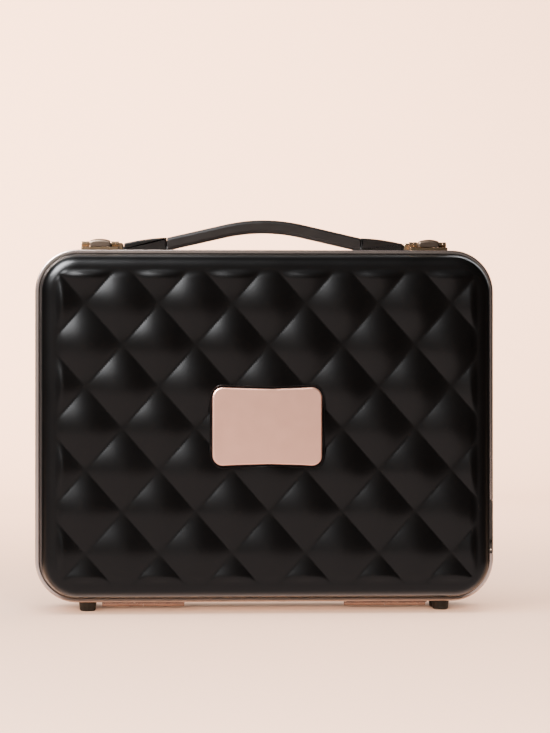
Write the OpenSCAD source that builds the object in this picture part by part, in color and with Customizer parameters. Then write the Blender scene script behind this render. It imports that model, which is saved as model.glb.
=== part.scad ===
// Hard makeup case that stands on its edge: two quilted shells in metal frames, hinged below and
// latched above, with a pull-up handle, a lit mirror in the front half and a tray in the back half.
// Millimetres. X is the width, the front faces -Y, and the feet stand on Z = 0.

/* [Case] */
// Width over the frames
case_w = 360; // [320:1:420]
// Height of the frames, without feet and handle
case_h = 276; // [245:1:320]
// Radius of the frames' corners
corner_r = 33; // [30:0.5:40]
// Depth of the front half, from the split to the crown of its quilting
lid_depth = 50; // [46:0.5:70]
// Depth of the back half, from the split to the crown of its quilting
base_depth = 62; // [50:0.5:90]

/* [Frames] */
// Depth of the front half's frame
lid_band_depth = 16; // [15:0.5:18]
// Depth of the back half's frame
base_band_depth = 22; // [20:0.5:28]
// Thickness of the frames' outer band
band_t = 3.5; // [3:0.1:4.5]
// Thickness of the flanges that meet at the split
flange_t = 3; // [2.5:0.1:4]
// Width of the rounded bead on each frame's free edge
bead = 0.8; // [0.4:0.1:1.2]

/* [Shells] */
// Least wall of a shell
shell_wall = 2.5; // [2:0.1:3]
// Radius of the edge between a shell's face and its wall
edge_r = 12; // [10:0.5:14]
// Draft of a shell's wall, from the frame to the rounded edge
draft = 2; // [1:0.5:3]
// Width of one quilted diamond
quilt_w = 56.8; // [50:0.2:64]
// Height of one quilted diamond
quilt_h = 64.5; // [56:0.5:72]
// Depth of the creases between the diamonds
relief = 5; // [3:0.5:6]

/* [Name plate] */
// Width of the bare plate
plate_w = 85; // [60:1:110]
// Height of the bare plate
plate_h = 60.5; // [40:0.5:80]
// Thickness of the bare plate
plate_t = 3.4; // [2.5:0.1:4]
// How far the plate's long edges bow inward
plate_bow = 1; // [0.6:0.1:1.6]
// Gap round the plate in its recess
plate_gap = 2.2; // [1:0.1:3]

/* [Feet and hinges] */
// Height of the feet
foot_h = 7.2; // [6:0.1:9]
// Diameter of a foot where it meets the frame
foot_d = 14; // [12:0.5:15]
// Gap between a foot and where the frame's corner starts to turn
foot_margin = 1; // [0.5:0.5:6]
// Length of a hinge
hinge_len = 64.6; // [50:0.2:72]
// Gap between a hinge and the foot beside it
hinge_gap = 4.2; // [1:0.1:20]
// Diameter of the hinge knuckles
hinge_d = 4.3; // [3.8:0.1:4.4]
// Diameter of the hinge pins
hinge_pin_d = 2; // [1.6:0.1:2.4]
// Thickness of the hinge leaves
leaf_t = 1.2; // [1:0.1:1.4]

/* [Latches] */
// Gap between a latch and where the frame's corner starts to turn
latch_margin = 2.9; // [2:0.1:6]
// Width of a latch plate
latch_w = 29.6; // [28:0.2:32]
// Thickness of a latch plate
latch_plate_t = 2.3; // [2:0.1:2.5]
// Width of the latch lever
lever_w = 16; // [15:0.2:16.6]
// Height of the lever's crown above the frame
lever_top = 8.8; // [8:0.1:10]
// Diameter of the latch knuckles
latch_knuckle_d = 4.5; // [4:0.1:4.6]
// Diameter of the stub pins that the lever turns on
lever_pin_d = 2; // [1.6:0.1:2.2]
// Diameter of the pin that the hook turns on
hook_pin_d = 1.6; // [1.2:0.1:1.8]
// Thickness of the hook's arm
hook_t = 1.6; // [1.2:0.1:1.8]

/* [Handle] */
// Gap between a handle bracket and the latch hook beside it
bracket_gap = 0.5; // [0.5:0.1:4]
// Length of a handle end, from its joint to its outer end
end_len = 34.1; // [30:0.1:38]
// Width of the handle, front to back
handle_w = 18; // [16:0.5:19]
// Thickness of the grip
grip_t = 10; // [8.6:0.1:11]
// How far the grip's middle stands above its ends
grip_rise = 14; // [8:0.5:16]
// Half the length of the grip's round crown
crown_half = 31; // [20:1:40]
// Thickness of the handle's outer ends
handle_tip_t = 5.5; // [4:0.1:6]
// Diameter of the handle's joint pins
handle_pin_d = 2; // [1.6:0.1:2.2]
// Height of the brackets above the frame
bracket_h = 6.3; // [6.1:0.1:7.5]
// Length of a bracket
bracket_len = 12.6; // [11.5:0.1:12.6]

/* [Inside] */
// Wall of the two liners
liner_t = 1.5; // [1.2:0.1:2]
// Distance from the case's side to the mirror
mirror_side = 55; // [46:1:80]
// Distance from the case's top and bottom to the mirror
mirror_edge = 43; // [36:1:60]
// Thickness of the mirror
mirror_t = 3; // [2.5:0.5:4]
// Width of the light ring round the mirror
light_w = 15; // [12:0.5:16]
// Width of the battery
battery_w = 110; // [80:1:130]
// Height of the battery
battery_h = 60; // [40:1:80]
// Thickness of the battery
battery_t = 12; // [8:0.5:12]
// Thickness of the dividers in the tray
divider_t = 3; // [2:0.5:4]
// Height of the dividers
divider_h = 38; // [25:0.5:45]

/* [Port panel] */
// Height of the panel in the front frame's right side
port_h = 42; // [36:1:50]
// Depth of the panel, front to back
port_depth = 13; // [11:0.5:13]
// Height of the panel's middle above the ground
port_z = 65.5; // [64:0.5:90]
// Diameter of the power button
button_d = 2.4; // [2:0.1:2.5]
// Travel of the power button
button_travel = 0.6; // [0.4:0.1:0.9]

/* [Hidden] */
$fn = 64;

// Clearances, and how far a cut or a lap runs past a face
split_gap = 0.3;
move_gap = 0.3;
fit_gap = 0.2;
run_gap = 0.05;
press_gap = 0.02;
over = 1;
lap = 0.1;

// Levels and planes
middle_z = foot_h + case_h / 2;
frame_top = foot_h + case_h;
split_y = (lid_depth - base_depth) / 2;
face_d = split_gap / 2;
flange_d = face_d + flange_t;
corner_x = case_w / 2 - corner_r;

// Outline of a shell: the flat field inside its rounded edge, its rim and its hollow
corner_ease = 0.7;
wall_spare = 0.3;
shell_inset = band_t + fit_gap;
field_x = case_w / 2 - shell_inset - draft - edge_r;
field_z = case_h / 2 - shell_inset - draft - edge_r;
field_r = corner_r - shell_inset - draft - edge_r + corner_ease;
hollow_inset = shell_inset + draft + shell_wall + wall_spare;
hollow_w = case_w - 2 * hollow_inset;
hollow_h = case_h - 2 * hollow_inset;
hollow_r = field_r + edge_r - shell_wall - wall_spare;
lid_floor = lid_depth - relief - shell_wall;
base_floor = base_depth - relief - shell_wall;

// Flange and seal
flange_inset = hollow_inset - 0.3;
seal_w = 2.2;
seal_t = 1.6;
seal_inset = band_t + 1.1;
seal_proud = 0.1;
groove_gap = 0.1;

// Quilting: six cells to a diamond, three narrower ones between the pattern and the edge
quilt_cells = 6;
border_cells = 3;
border_min = 8;
fade_w = 16;
pillow_power = 0.7;
edge_rings = 4;
cell_x = quilt_w / quilt_cells;
cell_z = quilt_h / quilt_cells;
cells_x = floor((field_x - border_min) / cell_x);
cells_z = floor((field_z - border_min) / cell_z);

// Recess for the name plate, on a pad that fills the creases under it
plate_r = 8;
recess_floor = relief - 1;
plate_chamfer = 0.8;
pad_rim = 0.8;
pad_lap = 0.5;

// Feet, beside the frames' corners
foot_tip_d = foot_d - 1.5;
foot_round = 1;
foot_x = corner_x - foot_margin - foot_d / 2;
foot_front_y = split_y - 8;
foot_rear_y = split_y + 14;

// Hinges: the axis lies below the split, clear of both frames
hinge_x = foot_x - foot_d / 2 - hinge_gap - hinge_len / 2;
hinge_z = foot_h - leaf_t - 1.25;
leaf_reach = 12.5;
knuckle_gap = 0.4;
hinge_rivet_x = [-22, 0, 22];
hinge_rivet_d = 9;

// Rivets
rivet_d = 2;
rivet_head_d = 3.8;
rivet_head_t = 0.7;

// Latches, in the latch's own frame: Y runs forward from the split, Z up from the frame
latch_x = corner_x - latch_margin - latch_w / 2;
latch_front = 15.2;
latch_back = 0.8;
lever_y = 3;
lever_z = 4.75;
hook_y = 7.5;
hook_z = 4.4;
dome_back = 9.6;
dome_front = 15.5;
dome_round = 7;
crown_r = 22;
ear_t = 2.4;
ear_r = 2.1;
eye_r = 1.7;
claw_y = -4.4;
claw_t = 1.6;
claw_w = lever_w - 2 * ear_t - 0.8;
lip_y = -1.4;
lip_t = 1;
lip_h = 2.6;
keeper_w = claw_w + bracket_gap;
keeper_t = 1.2;
keeper_back = -5.6;
keeper_rivet_x = 2.6;
latch_rivet_x = (lever_w / 2 + move_gap + latch_w / 2) / 2;
latch_rivet_y = 10.5;

// Brackets of the handle, beside the latches' hooks
bracket_w = 17;
bracket_wall = 1;
bracket_floor = 1;
bracket_lip = 3;
bracket_x1 = latch_x - claw_w / 2 - bracket_gap;
bracket_x0 = bracket_x1 - bracket_len;
tab_t = 1.4;
tab_r = 4;
tab_x = bracket_x1 + 3;

// Handle, level with the middle of the back frame's top
handle_reach = bracket_x0 - 0.4;
joint_x = handle_reach - end_len;
handle_y = split_y + base_band_depth / 2;
grip_bottom = frame_top + 0.4;
joint_z = frame_top + 2.4;
joint_gap = 0.7;
nose_r = 5.5;
nose_w = 11;
grip_bevel = 2.2;
grip_steps = 24;
grip_xs = [for (k = [-grip_steps:grip_steps]) joint_x * k / grip_steps];
slope = grip_rise / (joint_x - crown_half / 2);
core_t = 1.2;
core_w = 10;
core_reach = joint_x - nose_r - 4;
core_low = (grip_t - core_t) / 2;

// Top of a handle end: where it bends along its length, and how much of its rise is left there
bend_at = 0.55;
bend_rise = 0.62;

// Tongues of the handle
tongue_z = frame_top + 2.4;
tongue_t = 2;
tongue_w = 9.4;
tongue_root = 22;
tongue_end = handle_reach + 8.6;
tongue_head_w = 13.4;
tongue_head_len = 2.2;

// Liners
liner_gap = 0.3;
liner_w = hollow_w - 2 * liner_gap;
liner_h = hollow_h - 2 * liner_gap;
liner_r = hollow_r - liner_gap;
post_d = 6;
post_inset = 21.5;
post_x = hollow_w / 2 - post_inset;
post_z = hollow_h / 2 - post_inset;

// Tray: places of its dividers from the middle
divider_gap = 0.3;
divider_x = 60;
divider_left_z = 20;
divider_middle_z = -30;
divider_right_z = 42;

// Mirror, its light ring and the touch switch below it
mirror_seat = lid_floor - 15;
mirror_w = case_w - 2 * mirror_side;
mirror_h = case_h - 2 * mirror_edge;
mirror_r = 12;
ring_gap = 0.5;
ring_w = mirror_w + 2 * ring_gap + 2 * light_w;
ring_h = mirror_h + 2 * ring_gap + 2 * light_w;
ring_r = mirror_r + ring_gap + light_w;
light_depth = 4;
light_wall = 1.6;
strip_t = 1;
strip_inset = light_wall + 0.5;
switch_d = 10;
switch_t = 1;
switch_drop = 8;

// Battery and control board, on the floor of the front half's hollow
battery_drop = 70;
board_side = 31.5;
board_w = 70;
board_x = hollow_w / 2 - board_side - board_w;
board_h = 45;
board_t = 1.6;
board_drop = 80;
board_clear = 2.4;
standoff_d = 4;
standoff_inset = 4;

// Port panel, its socket, button and light
port_d0 = lid_band_depth - port_depth;
port_x0 = case_w / 2 - band_t;
port_cut = 12;
socket_w = 9;
socket_h = 3.3;
socket_len = 7.4;
socket_wall = 0.5;
socket_tongue_t = 0.7;
socket_tongue_gap = 1.4;
socket_z = port_z + 9;
socket_d = port_d0 + port_depth / 2;
socket_x1 = case_w / 2 - 0.4;
button_x = case_w / 2 - band_t / 2;
button_z = port_z - 11.5;
button_len = 5;
button_sink = 0.4;
light_drop = 18;
light_z = port_z - light_drop;
pipe_d = 1.2;
pipe_len = 3.8;
pipe_sink = 0.2;

// Two-dimensional outlines

module rounded(w, h, r) {
    square([w - 2 * r, h], center = true);
    square([w, h - 2 * r], center = true);
    for (sx = [-1, 1])
        for (sz = [-1, 1])
            translate([sx * (w / 2 - r), sz * (h / 2 - r)]) circle(r);
}

module loop(w, h, r, t) {
    difference() {
        rounded(w, h, r);
        rounded(w - 2 * t, h - 2 * t, r - t);
    }
}

// Placing: a sheet stands in the case's middle plane, and depths count outward from the split

module sheet(d0, d1, z = middle_z) {
    translate([0, d1, z]) rotate([90, 0, 0]) linear_extrude(d1 - d0) children();
}

module in_lid() {
    translate([0, split_y, 0]) mirror([0, 1, 0]) children();
}

module in_base() {
    translate([0, split_y, 0]) children();
}

module left() {
    mirror([1, 0, 0]) children();
}

// Quilted shell

function soft(t) = let (s = min(max(t, 0), 1)) s * s * (3 - 2 * s);

function pillow(x, z) =
    let (u = x / quilt_w + z / quilt_h)
    let (v = x / quilt_w - z / quilt_h)
    pow(abs(sin(180 * u)), pillow_power) * pow(abs(sin(180 * v)), pillow_power);

function crease(x, z) =
    let (inside = min(field_x - abs(x), field_z - abs(z)))
    relief * (1 - pillow(x, z)) * soft(inside / fade_w);

// Lines of the grid along one axis: the pattern's own, then the border's
function lines(count, cell, field) =
    let (last = count * cell)
    let (step = (field - last) / border_cells)
    concat(
        [for (k = [border_cells:-1:1]) -last - k * step],
        [for (k = [-count:count]) k * cell],
        [for (k = [1:border_cells]) last + k * step]
    );

// Moves a point of the square corner onto the round one
function cornered(x, z) =
    let (a = max(abs(x) - field_x + field_r, 0))
    let (b = max(abs(z) - field_z + field_r, 0))
    let (pull = a > 0 && b > 0 ? max(a, b) / norm([a, b]) : 1)
    [sign(x) * (abs(x) - a + a * pull), sign(z) * (abs(z) - b + b * pull)];

// Direction that points out of the field at a point on its edge
function outward(p) =
    let (a = max(abs(p[0]) - field_x + field_r, 0))
    let (b = max(abs(p[1]) - field_z + field_r, 0))
    [sign(p[0]) * a, sign(p[1]) * b] / norm([a, b]);

// Offsets and depths of the rings that lead from the field's edge to the rim
function edge_profile(depth, band) = concat(
    [for (k = [1:edge_rings])
        let (turn = 90 * k / edge_rings)
        [edge_r * sin(turn), depth - edge_r * (1 - cos(turn))]],
    [[edge_r + draft, band], [edge_r + draft, flange_d]]
);

module quilted_block(depth, band) {
    xs = lines(cells_x, cell_x, field_x);
    zs = lines(cells_z, cell_z, field_z);
    nx = len(xs);
    nz = len(zs);
    field = [for (x = xs, z = zs) let (p = cornered(x, z)) [p[0], depth - crease(x, z), p[1]]];
    walk = concat(
        [for (i = [0:nx - 2]) [i, 0]],
        [for (j = [0:nz - 2]) [nx - 1, j]],
        [for (i = [nx - 1:-1:1]) [i, nz - 1]],
        [for (j = [nz - 1:-1:1]) [0, j]]
    );
    rim = [for (w = walk) cornered(xs[w[0]], zs[w[1]])];
    profile = edge_profile(depth, band);
    rings = [for (s = profile, p = rim) let (q = p + s[0] * outward(p)) [q[0], s[1], q[1]]];
    count = len(walk);
    start = nx * nz;
    function at(ring, k) = ring < 0
        ? walk[k % count][0] * nz + walk[k % count][1]
        : start + ring * count + k % count;
    shift = cells_x + border_cells - cells_z - border_cells;
    cells = [for (i = [0:nx - 2], j = [0:nz - 2])
        let (a = i * nz + j, b = a + nz, c = b + 1, d = a + 1)
        let (along = (i - j - shift) % quilt_cells == 0)
        each along ? [[a, b, c], [a, c, d]] : [[a, b, d], [b, c, d]]];
    walls = [for (r = [0:len(profile) - 1], k = [0:count - 1])
        let (a = at(r - 1, k), b = at(r - 1, k + 1), c = at(r, k), d = at(r, k + 1))
        each [[b, a, c], [b, c, d]]];
    cap = [for (k = [count - 1:-1:0]) at(len(profile) - 1, k)];
    translate([0, 0, middle_z])
        polyhedron(concat(field, rings), concat(cells, walls, [cap]));
}

module hollow(floor_d) {
    sheet(0, floor_d) rounded(hollow_w, hollow_h, hollow_r);
}

module base_shell() {
    color([0.06, 0.06, 0.065]) in_base() difference() {
        quilted_block(base_depth, base_band_depth);
        hollow(base_floor);
    }
}

module plate_outline(grow) {
    bow_r = plate_w * plate_w / (8 * plate_bow);
    difference() {
        rounded(plate_w + 2 * grow, plate_h + 2 * grow, plate_r + grow);
        for (s = [-1, 1])
            translate([0, s * (plate_h / 2 + grow - plate_bow + bow_r)]) circle(bow_r, $fn = 256);
    }
}

module lid_shell() {
    recess_d = lid_depth - recess_floor;
    color([0.06, 0.06, 0.065]) in_lid() difference() {
        union() {
            quilted_block(lid_depth, lid_band_depth);
            sheet(lid_floor - pad_lap, recess_d) plate_outline(plate_gap + pad_rim);
        }
        hollow(lid_floor);
        sheet(recess_d, lid_depth + over) plate_outline(plate_gap);
        translate([case_w / 2 - port_cut / 2, socket_d, socket_z])
            cube([port_cut, socket_h + 2 * fit_gap, socket_w + 2 * fit_gap], center = true);
    }
}

module name_plate() {
    seat = lid_depth - recess_floor;
    color([0.80, 0.62, 0.54]) in_lid() {
        sheet(seat, seat + plate_t - plate_chamfer) plate_outline(0);
        sheet(seat + plate_t - plate_chamfer, seat + plate_t) plate_outline(-plate_chamfer / 2);
    }
}

// Frames

module band(depth) {
    sheet(face_d, depth - bead) loop(case_w, case_h, corner_r, band_t);
    sheet(depth - bead, depth) loop(case_w - 2 * bead, case_h - 2 * bead, corner_r - bead, band_t - bead);
    sheet(face_d, flange_d)
        loop(case_w - 2 * over, case_h - 2 * over, corner_r - over, flange_inset - over);
}

module upright_bore(x, d, depth) {
    translate([x, d, frame_top - depth]) cylinder(d = rivet_d + 2 * press_gap, h = depth + over);
}

module under_bore(x, d, depth) {
    translate([x, d, foot_h - over]) cylinder(d = rivet_d + 2 * press_gap, h = depth + over);
}

module base_frame() {
    color([0.70, 0.58, 0.53]) in_base() difference() {
        band(base_band_depth);
        sheet(face_d - over, face_d + seal_t - seal_proud)
            loop(case_w - 2 * seal_inset + 2 * groove_gap, case_h - 2 * seal_inset + 2 * groove_gap,
                 corner_r - seal_inset + groove_gap, seal_w + 2 * groove_gap);
        for (s = [-1, 1]) {
            for (x = bracket_rivets()) upright_bore(s * x[0], x[1] - split_y, band_t);
            for (x = keeper_rivets()) upright_bore(s * x[0], x[1] - split_y, band_t);
            for (x = hinge_rivet_x) under_bore(s * (hinge_x + x), hinge_rivet_d, band_t);
        }
    }
}

module lid_frame() {
    color([0.70, 0.58, 0.53]) in_lid() difference() {
        band(lid_band_depth);
        for (s = [-1, 1]) {
            for (x = [-latch_rivet_x, latch_rivet_x])
                upright_bore(s * (latch_x + x), latch_rivet_y, band_t);
            for (x = hinge_rivet_x) under_bore(s * (hinge_x + x), hinge_rivet_d, band_t);
        }
        translate([case_w / 2 - band_t - lap, port_d0 - fit_gap, port_z - port_h / 2 - fit_gap])
            cube([band_t + over, port_depth + over, port_h + 2 * fit_gap]);
    }
}

module frame_seal() {
    color([0.10, 0.10, 0.10]) in_base() sheet(face_d - seal_proud, face_d + seal_t - seal_proud)
        loop(case_w - 2 * seal_inset, case_h - 2 * seal_inset, corner_r - seal_inset, seal_w);
}

// Feet

module foot(x, y) {
    color([0.07, 0.07, 0.07]) translate([x, y, 0]) {
        cylinder(d1 = foot_tip_d - 2 * foot_round, d2 = foot_tip_d, h = foot_round);
        translate([0, 0, foot_round]) cylinder(d1 = foot_tip_d, d2 = foot_d, h = foot_h - foot_round);
    }
}

// Hinges: in each, the knuckle nearer the middle belongs to the front half

module leaf(own_inner) {
    inner = hinge_x - hinge_len / 2;
    half = hinge_len / 2;
    knuckle_x = own_inner ? inner : inner + half + knuckle_gap / 2;
    other_x = own_inner ? inner + half - knuckle_gap / 2 : inner;
    top = foot_h;
    difference() {
        union() {
            translate([inner, face_d, top - leaf_t]) cube([hinge_len, leaf_reach, leaf_t]);
            translate([knuckle_x, 0, hinge_z]) rotate([0, 90, 0])
                cylinder(d = hinge_d, h = half - knuckle_gap / 2);
        }
        translate([other_x - lap, -over, top - leaf_t - lap])
            cube([half + knuckle_gap / 2 + lap, over + hinge_d / 2 + knuckle_gap, leaf_t + 2 * lap]);
        translate([inner - over, 0, hinge_z]) rotate([0, 90, 0])
            cylinder(d = hinge_pin_d + 2 * (own_inner ? run_gap : press_gap), h = hinge_len + 2 * over);
        for (x = hinge_rivet_x) {
            under_bore(hinge_x + x, hinge_rivet_d, band_t);
            translate([hinge_x + x, hinge_rivet_d, top - leaf_t - lap])
                cylinder(d = rivet_head_d + 2 * press_gap, h = rivet_head_t + lap + press_gap);
        }
    }
}

module hinge_leaf_lid() {
    color([0.74, 0.52, 0.44]) in_lid() leaf(true);
}

module hinge_leaf_base() {
    color([0.74, 0.52, 0.44]) in_base() leaf(false);
}

module hinge_pin() {
    color([0.72, 0.72, 0.74]) translate([hinge_x - hinge_len / 2, split_y, hinge_z]) rotate([0, 90, 0])
        cylinder(d = hinge_pin_d, h = hinge_len);
}

// Rivets: a shank with a flat head that lies in the piece it holds

module top_rivet(x, y, seat_h) {
    translate([x, y, frame_top - band_t]) cylinder(d = rivet_d, h = band_t + seat_h);
    translate([x, y, frame_top + seat_h - rivet_head_t]) cylinder(d = rivet_head_d, h = rivet_head_t);
}

module hinge_rivet(x, y) {
    translate([x, y, foot_h - leaf_t]) cylinder(d = rivet_d, h = band_t + leaf_t);
    translate([x, y, foot_h - leaf_t]) cylinder(d = rivet_head_d, h = rivet_head_t);
}

function bracket_rivets() = [[tab_x, handle_y]];
function keeper_rivets() = [for (s = [-1, 1]) [latch_x + s * keeper_rivet_x, split_y - claw_y]];

module base_rivets() {
    color([0.80, 0.66, 0.46]) for (s = [-1, 1]) {
        for (p = bracket_rivets()) top_rivet(s * p[0], p[1], tab_t);
        for (p = keeper_rivets()) top_rivet(s * p[0], p[1], keeper_t);
        for (x = hinge_rivet_x) hinge_rivet(s * (hinge_x + x), split_y + hinge_rivet_d);
    }
}

module lid_rivets() {
    color([0.80, 0.66, 0.46]) for (s = [-1, 1]) {
        for (x = [-latch_rivet_x, latch_rivet_x])
            top_rivet(s * (latch_x + x), split_y - latch_rivet_y, latch_plate_t);
        for (x = hinge_rivet_x) hinge_rivet(s * (hinge_x + x), split_y - hinge_rivet_d);
    }
}

// Latches. The claw and the keeper's lip are drawn just clear of each other.

module latch_place() {
    translate([latch_x, split_y, frame_top]) mirror([0, 1, 0]) children();
}

module cross_rod(y, z, d, x0, x1) {
    translate([x0, y, z]) rotate([0, 90, 0]) cylinder(d = d, h = x1 - x0);
}

module head_pocket(x, y, top) {
    translate([x, y, -over]) cylinder(d = rivet_d + 2 * press_gap, h = top + 2 * over);
    translate([x, y, top - rivet_head_t - press_gap])
        cylinder(d = rivet_head_d + 2 * press_gap, h = rivet_head_t + over);
}

module latch_plate() {
    inner = lever_w / 2 + move_gap;
    outer = latch_w / 2;
    color([0.80, 0.68, 0.50]) latch_place() difference() {
        union() {
            translate([-outer, latch_back, 0]) cube([latch_w, latch_front - latch_back, latch_plate_t]);
            for (s = [-1, 1]) {
                cross_rod(lever_y, lever_z, latch_knuckle_d, s > 0 ? inner : -outer, s > 0 ? outer : -inner);
                translate([s > 0 ? inner : -outer, lever_y - latch_knuckle_d / 2, latch_plate_t - lap])
                    cube([outer - inner, latch_knuckle_d, lever_z - latch_plate_t + lap]);
            }
        }
        cross_rod(lever_y, lever_z, lever_pin_d + 2 * press_gap, -outer - over, outer + over);
        for (x = [-latch_rivet_x, latch_rivet_x]) head_pocket(x, latch_rivet_y, latch_plate_t);
    }
}

module latch_pins() {
    inner = lever_w / 2 - ear_t + lap;
    color([0.72, 0.72, 0.74]) latch_place() {
        cross_rod(lever_y, lever_z, lever_pin_d, inner, latch_w / 2);
        cross_rod(lever_y, lever_z, lever_pin_d, -latch_w / 2, -inner);
    }
}

module lever_ear(x0) {
    cross_rod(lever_y, lever_z, 2 * ear_r, x0, x0 + ear_t);
    translate([x0, lever_y, hook_z - eye_r]) cube([ear_t, dome_back - lever_y + over, 2 * eye_r]);
}

module latch_lever() {
    floor_z = latch_plate_t + move_gap;
    color([0.72, 0.60, 0.46]) latch_place() difference() {
        union() {
            lever_ear(-lever_w / 2);
            lever_ear(lever_w / 2 - ear_t);
            intersection() {
                translate([-lever_w / 2, dome_back, floor_z])
                    cube([lever_w, dome_front - dome_back, lever_top - floor_z]);
                translate([0, dome_back - over, lever_top - crown_r]) rotate([-90, 0, 0])
                    cylinder(r = crown_r, h = dome_front - dome_back + 2 * over, $fn = 128);
                cross_rod(dome_front - dome_round, lever_top - dome_round, 2 * dome_round,
                          -lever_w, lever_w);
            }
        }
        cross_rod(lever_y, lever_z, lever_pin_d + 2 * run_gap, -lever_w, lever_w);
        cross_rod(hook_y, hook_z, hook_pin_d + 2 * press_gap, -lever_w, lever_w);
    }
}

module hook_pin() {
    color([0.72, 0.72, 0.74]) latch_place()
        cross_rod(hook_y, hook_z, hook_pin_d, -lever_w / 2, lever_w / 2);
}

module latch_hook() {
    color([0.76, 0.64, 0.48]) latch_place() difference() {
        union() {
            cross_rod(hook_y, hook_z, 2 * eye_r, -claw_w / 2, claw_w / 2);
            translate([-claw_w / 2, claw_y, hook_z - hook_t / 2]) cube([claw_w, hook_y - claw_y, hook_t]);
            translate([-claw_w / 2, claw_y, lip_h + move_gap])
                cube([claw_w, claw_t, hook_z - lip_h - move_gap]);
        }
        cross_rod(hook_y, hook_z, hook_pin_d + 2 * run_gap, -claw_w, claw_w);
    }
}

module keeper() {
    color([0.80, 0.68, 0.50]) latch_place() difference() {
        union() {
            translate([-keeper_w / 2, keeper_back, 0]) cube([keeper_w, lip_y - keeper_back, keeper_t]);
            translate([-keeper_w / 2, lip_y - lip_t, 0]) cube([keeper_w, lip_t, lip_h]);
        }
        for (s = [-1, 1]) head_pocket(s * keeper_rivet_x, claw_y, keeper_t);
    }
}

// Handle

function grip_height(x) = abs(x) < crown_half
    ? grip_rise - slope * x * x / (2 * crown_half)
    : slope * (joint_x - abs(x));

// Outline of a bar that follows the grip, between two heights above its underside
module grip_strip(low, high, reach) {
    keep = [for (x = grip_xs) if (abs(x) <= reach) x];
    polygon(concat(
        [for (x = keep) [x, grip_height(x) + low]],
        [for (k = [len(keep) - 1:-1:0]) [keep[k], grip_height(keep[k]) + high]]
    ));
}

module across_handle(w) {
    translate([0, handle_y + w / 2, grip_bottom]) rotate([90, 0, 0]) linear_extrude(w) children();
}

module handle_grip() {
    color([0.09, 0.09, 0.095]) difference() {
        union() {
            across_handle(handle_w) grip_strip(grip_bevel, grip_t - grip_bevel, joint_x);
            across_handle(handle_w - 2 * grip_bevel) grip_strip(0, grip_t, joint_x);
            across_handle(handle_w - grip_bevel)
                grip_strip(grip_bevel / 2, grip_t - grip_bevel / 2, joint_x);
        }
        across_handle(core_w + 2 * press_gap)
            grip_strip(core_low - press_gap, core_low + core_t + press_gap, core_reach + lap);
        for (s = [-1, 1]) {
            joint_rod(s * joint_x, nose_w + 2 * move_gap, 2 * (nose_r + move_gap));
            joint_rod(s * joint_x, handle_w + 2 * over, handle_pin_d + 2 * press_gap);
        }
    }
}

module joint_rod(x, w, d) {
    translate([x, handle_y + w / 2, joint_z]) rotate([90, 0, 0]) cylinder(d = d, h = w);
}

module handle_core() {
    color([0.66, 0.67, 0.69]) across_handle(core_w)
        grip_strip(core_low, core_low + core_t, core_reach);
}

// End of the handle: a wedge that thins toward its bracket, with a round nose in the grip's end
module wedge(low, high) {
    rise = grip_t - handle_tip_t;
    polygon([
        [joint_x + joint_gap, low],
        [handle_reach, low],
        [handle_reach, handle_tip_t - high],
        [joint_x + bend_at * end_len, handle_tip_t - high + bend_rise * rise],
        [joint_x + joint_gap, grip_t - high]
    ]);
}

module handle_end() {
    color([0.07, 0.07, 0.075]) difference() {
        union() {
            across_handle(handle_w) wedge(grip_bevel / 2, grip_bevel / 2);
            across_handle(handle_w - grip_bevel) wedge(0, 0);
            intersection() {
                joint_rod(joint_x, nose_w, 2 * nose_r);
                translate([joint_x - nose_r, handle_y - nose_w / 2, grip_bottom])
                    cube([nose_r + joint_gap + over, nose_w, 2 * nose_r]);
            }
        }
        joint_rod(joint_x, handle_w + 2 * over, handle_pin_d + 2 * run_gap);
        translate([handle_reach - tongue_root, handle_y, tongue_z])
            translate([0, -tongue_w / 2 - press_gap, -tongue_t / 2 - press_gap])
                cube([tongue_root + over, tongue_w + 2 * press_gap, tongue_t + 2 * press_gap]);
    }
}

module handle_tongue() {
    color([0.66, 0.67, 0.69]) {
        translate([handle_reach - tongue_root, handle_y - tongue_w / 2, tongue_z - tongue_t / 2])
            cube([tongue_end - handle_reach + tongue_root, tongue_w, tongue_t]);
        translate([tongue_end - tongue_head_len, handle_y - tongue_head_w / 2, tongue_z - tongue_t / 2])
            cube([tongue_head_len, tongue_head_w, tongue_t]);
    }
}

module handle_pin() {
    color([0.66, 0.67, 0.69]) joint_rod(joint_x, handle_w - grip_bevel, handle_pin_d);
}

// Bracket: a hood over the tongue's head, with a round tab that a rivet holds to the frame
module handle_bracket() {
    inside_w = tongue_head_w + 2 * move_gap;
    mouth_w = tongue_w + 2 * move_gap;
    inside_h = bracket_h - bracket_floor - bracket_wall;
    color([0.80, 0.68, 0.50]) difference() {
        union() {
            translate([bracket_x0, handle_y - bracket_w / 2, frame_top])
                cube([bracket_len, bracket_w, bracket_h]);
            translate([bracket_x1 - over, handle_y - tab_r, frame_top])
                cube([tab_x - bracket_x1 + over, 2 * tab_r, tab_t]);
            translate([tab_x, handle_y, frame_top]) cylinder(r = tab_r, h = tab_t);
        }
        translate([bracket_x0 + bracket_lip, handle_y - inside_w / 2, frame_top + bracket_floor])
            cube([bracket_len - bracket_lip - bracket_wall, inside_w, inside_h]);
        translate([bracket_x0 - over, handle_y - mouth_w / 2, frame_top + bracket_floor])
            cube([bracket_lip + 2 * over, mouth_w, inside_h]);
        translate([0, 0, frame_top]) head_pocket(tab_x, handle_y, tab_t);
    }
}

// Liners and what they carry

module base_liner() {
    color([0.16, 0.13, 0.13]) in_base() difference() {
        sheet(over, base_floor) rounded(liner_w, liner_h, liner_r);
        sheet(0, base_floor - liner_t)
            rounded(liner_w - 2 * liner_t, liner_h - 2 * liner_t, liner_r - liner_t);
    }
}

module divider(x0, x1, z0, z1) {
    top = base_floor - liner_t;
    translate([x0, top - divider_h, z0]) cube([x1 - x0, divider_h, z1 - z0]);
}

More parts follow.
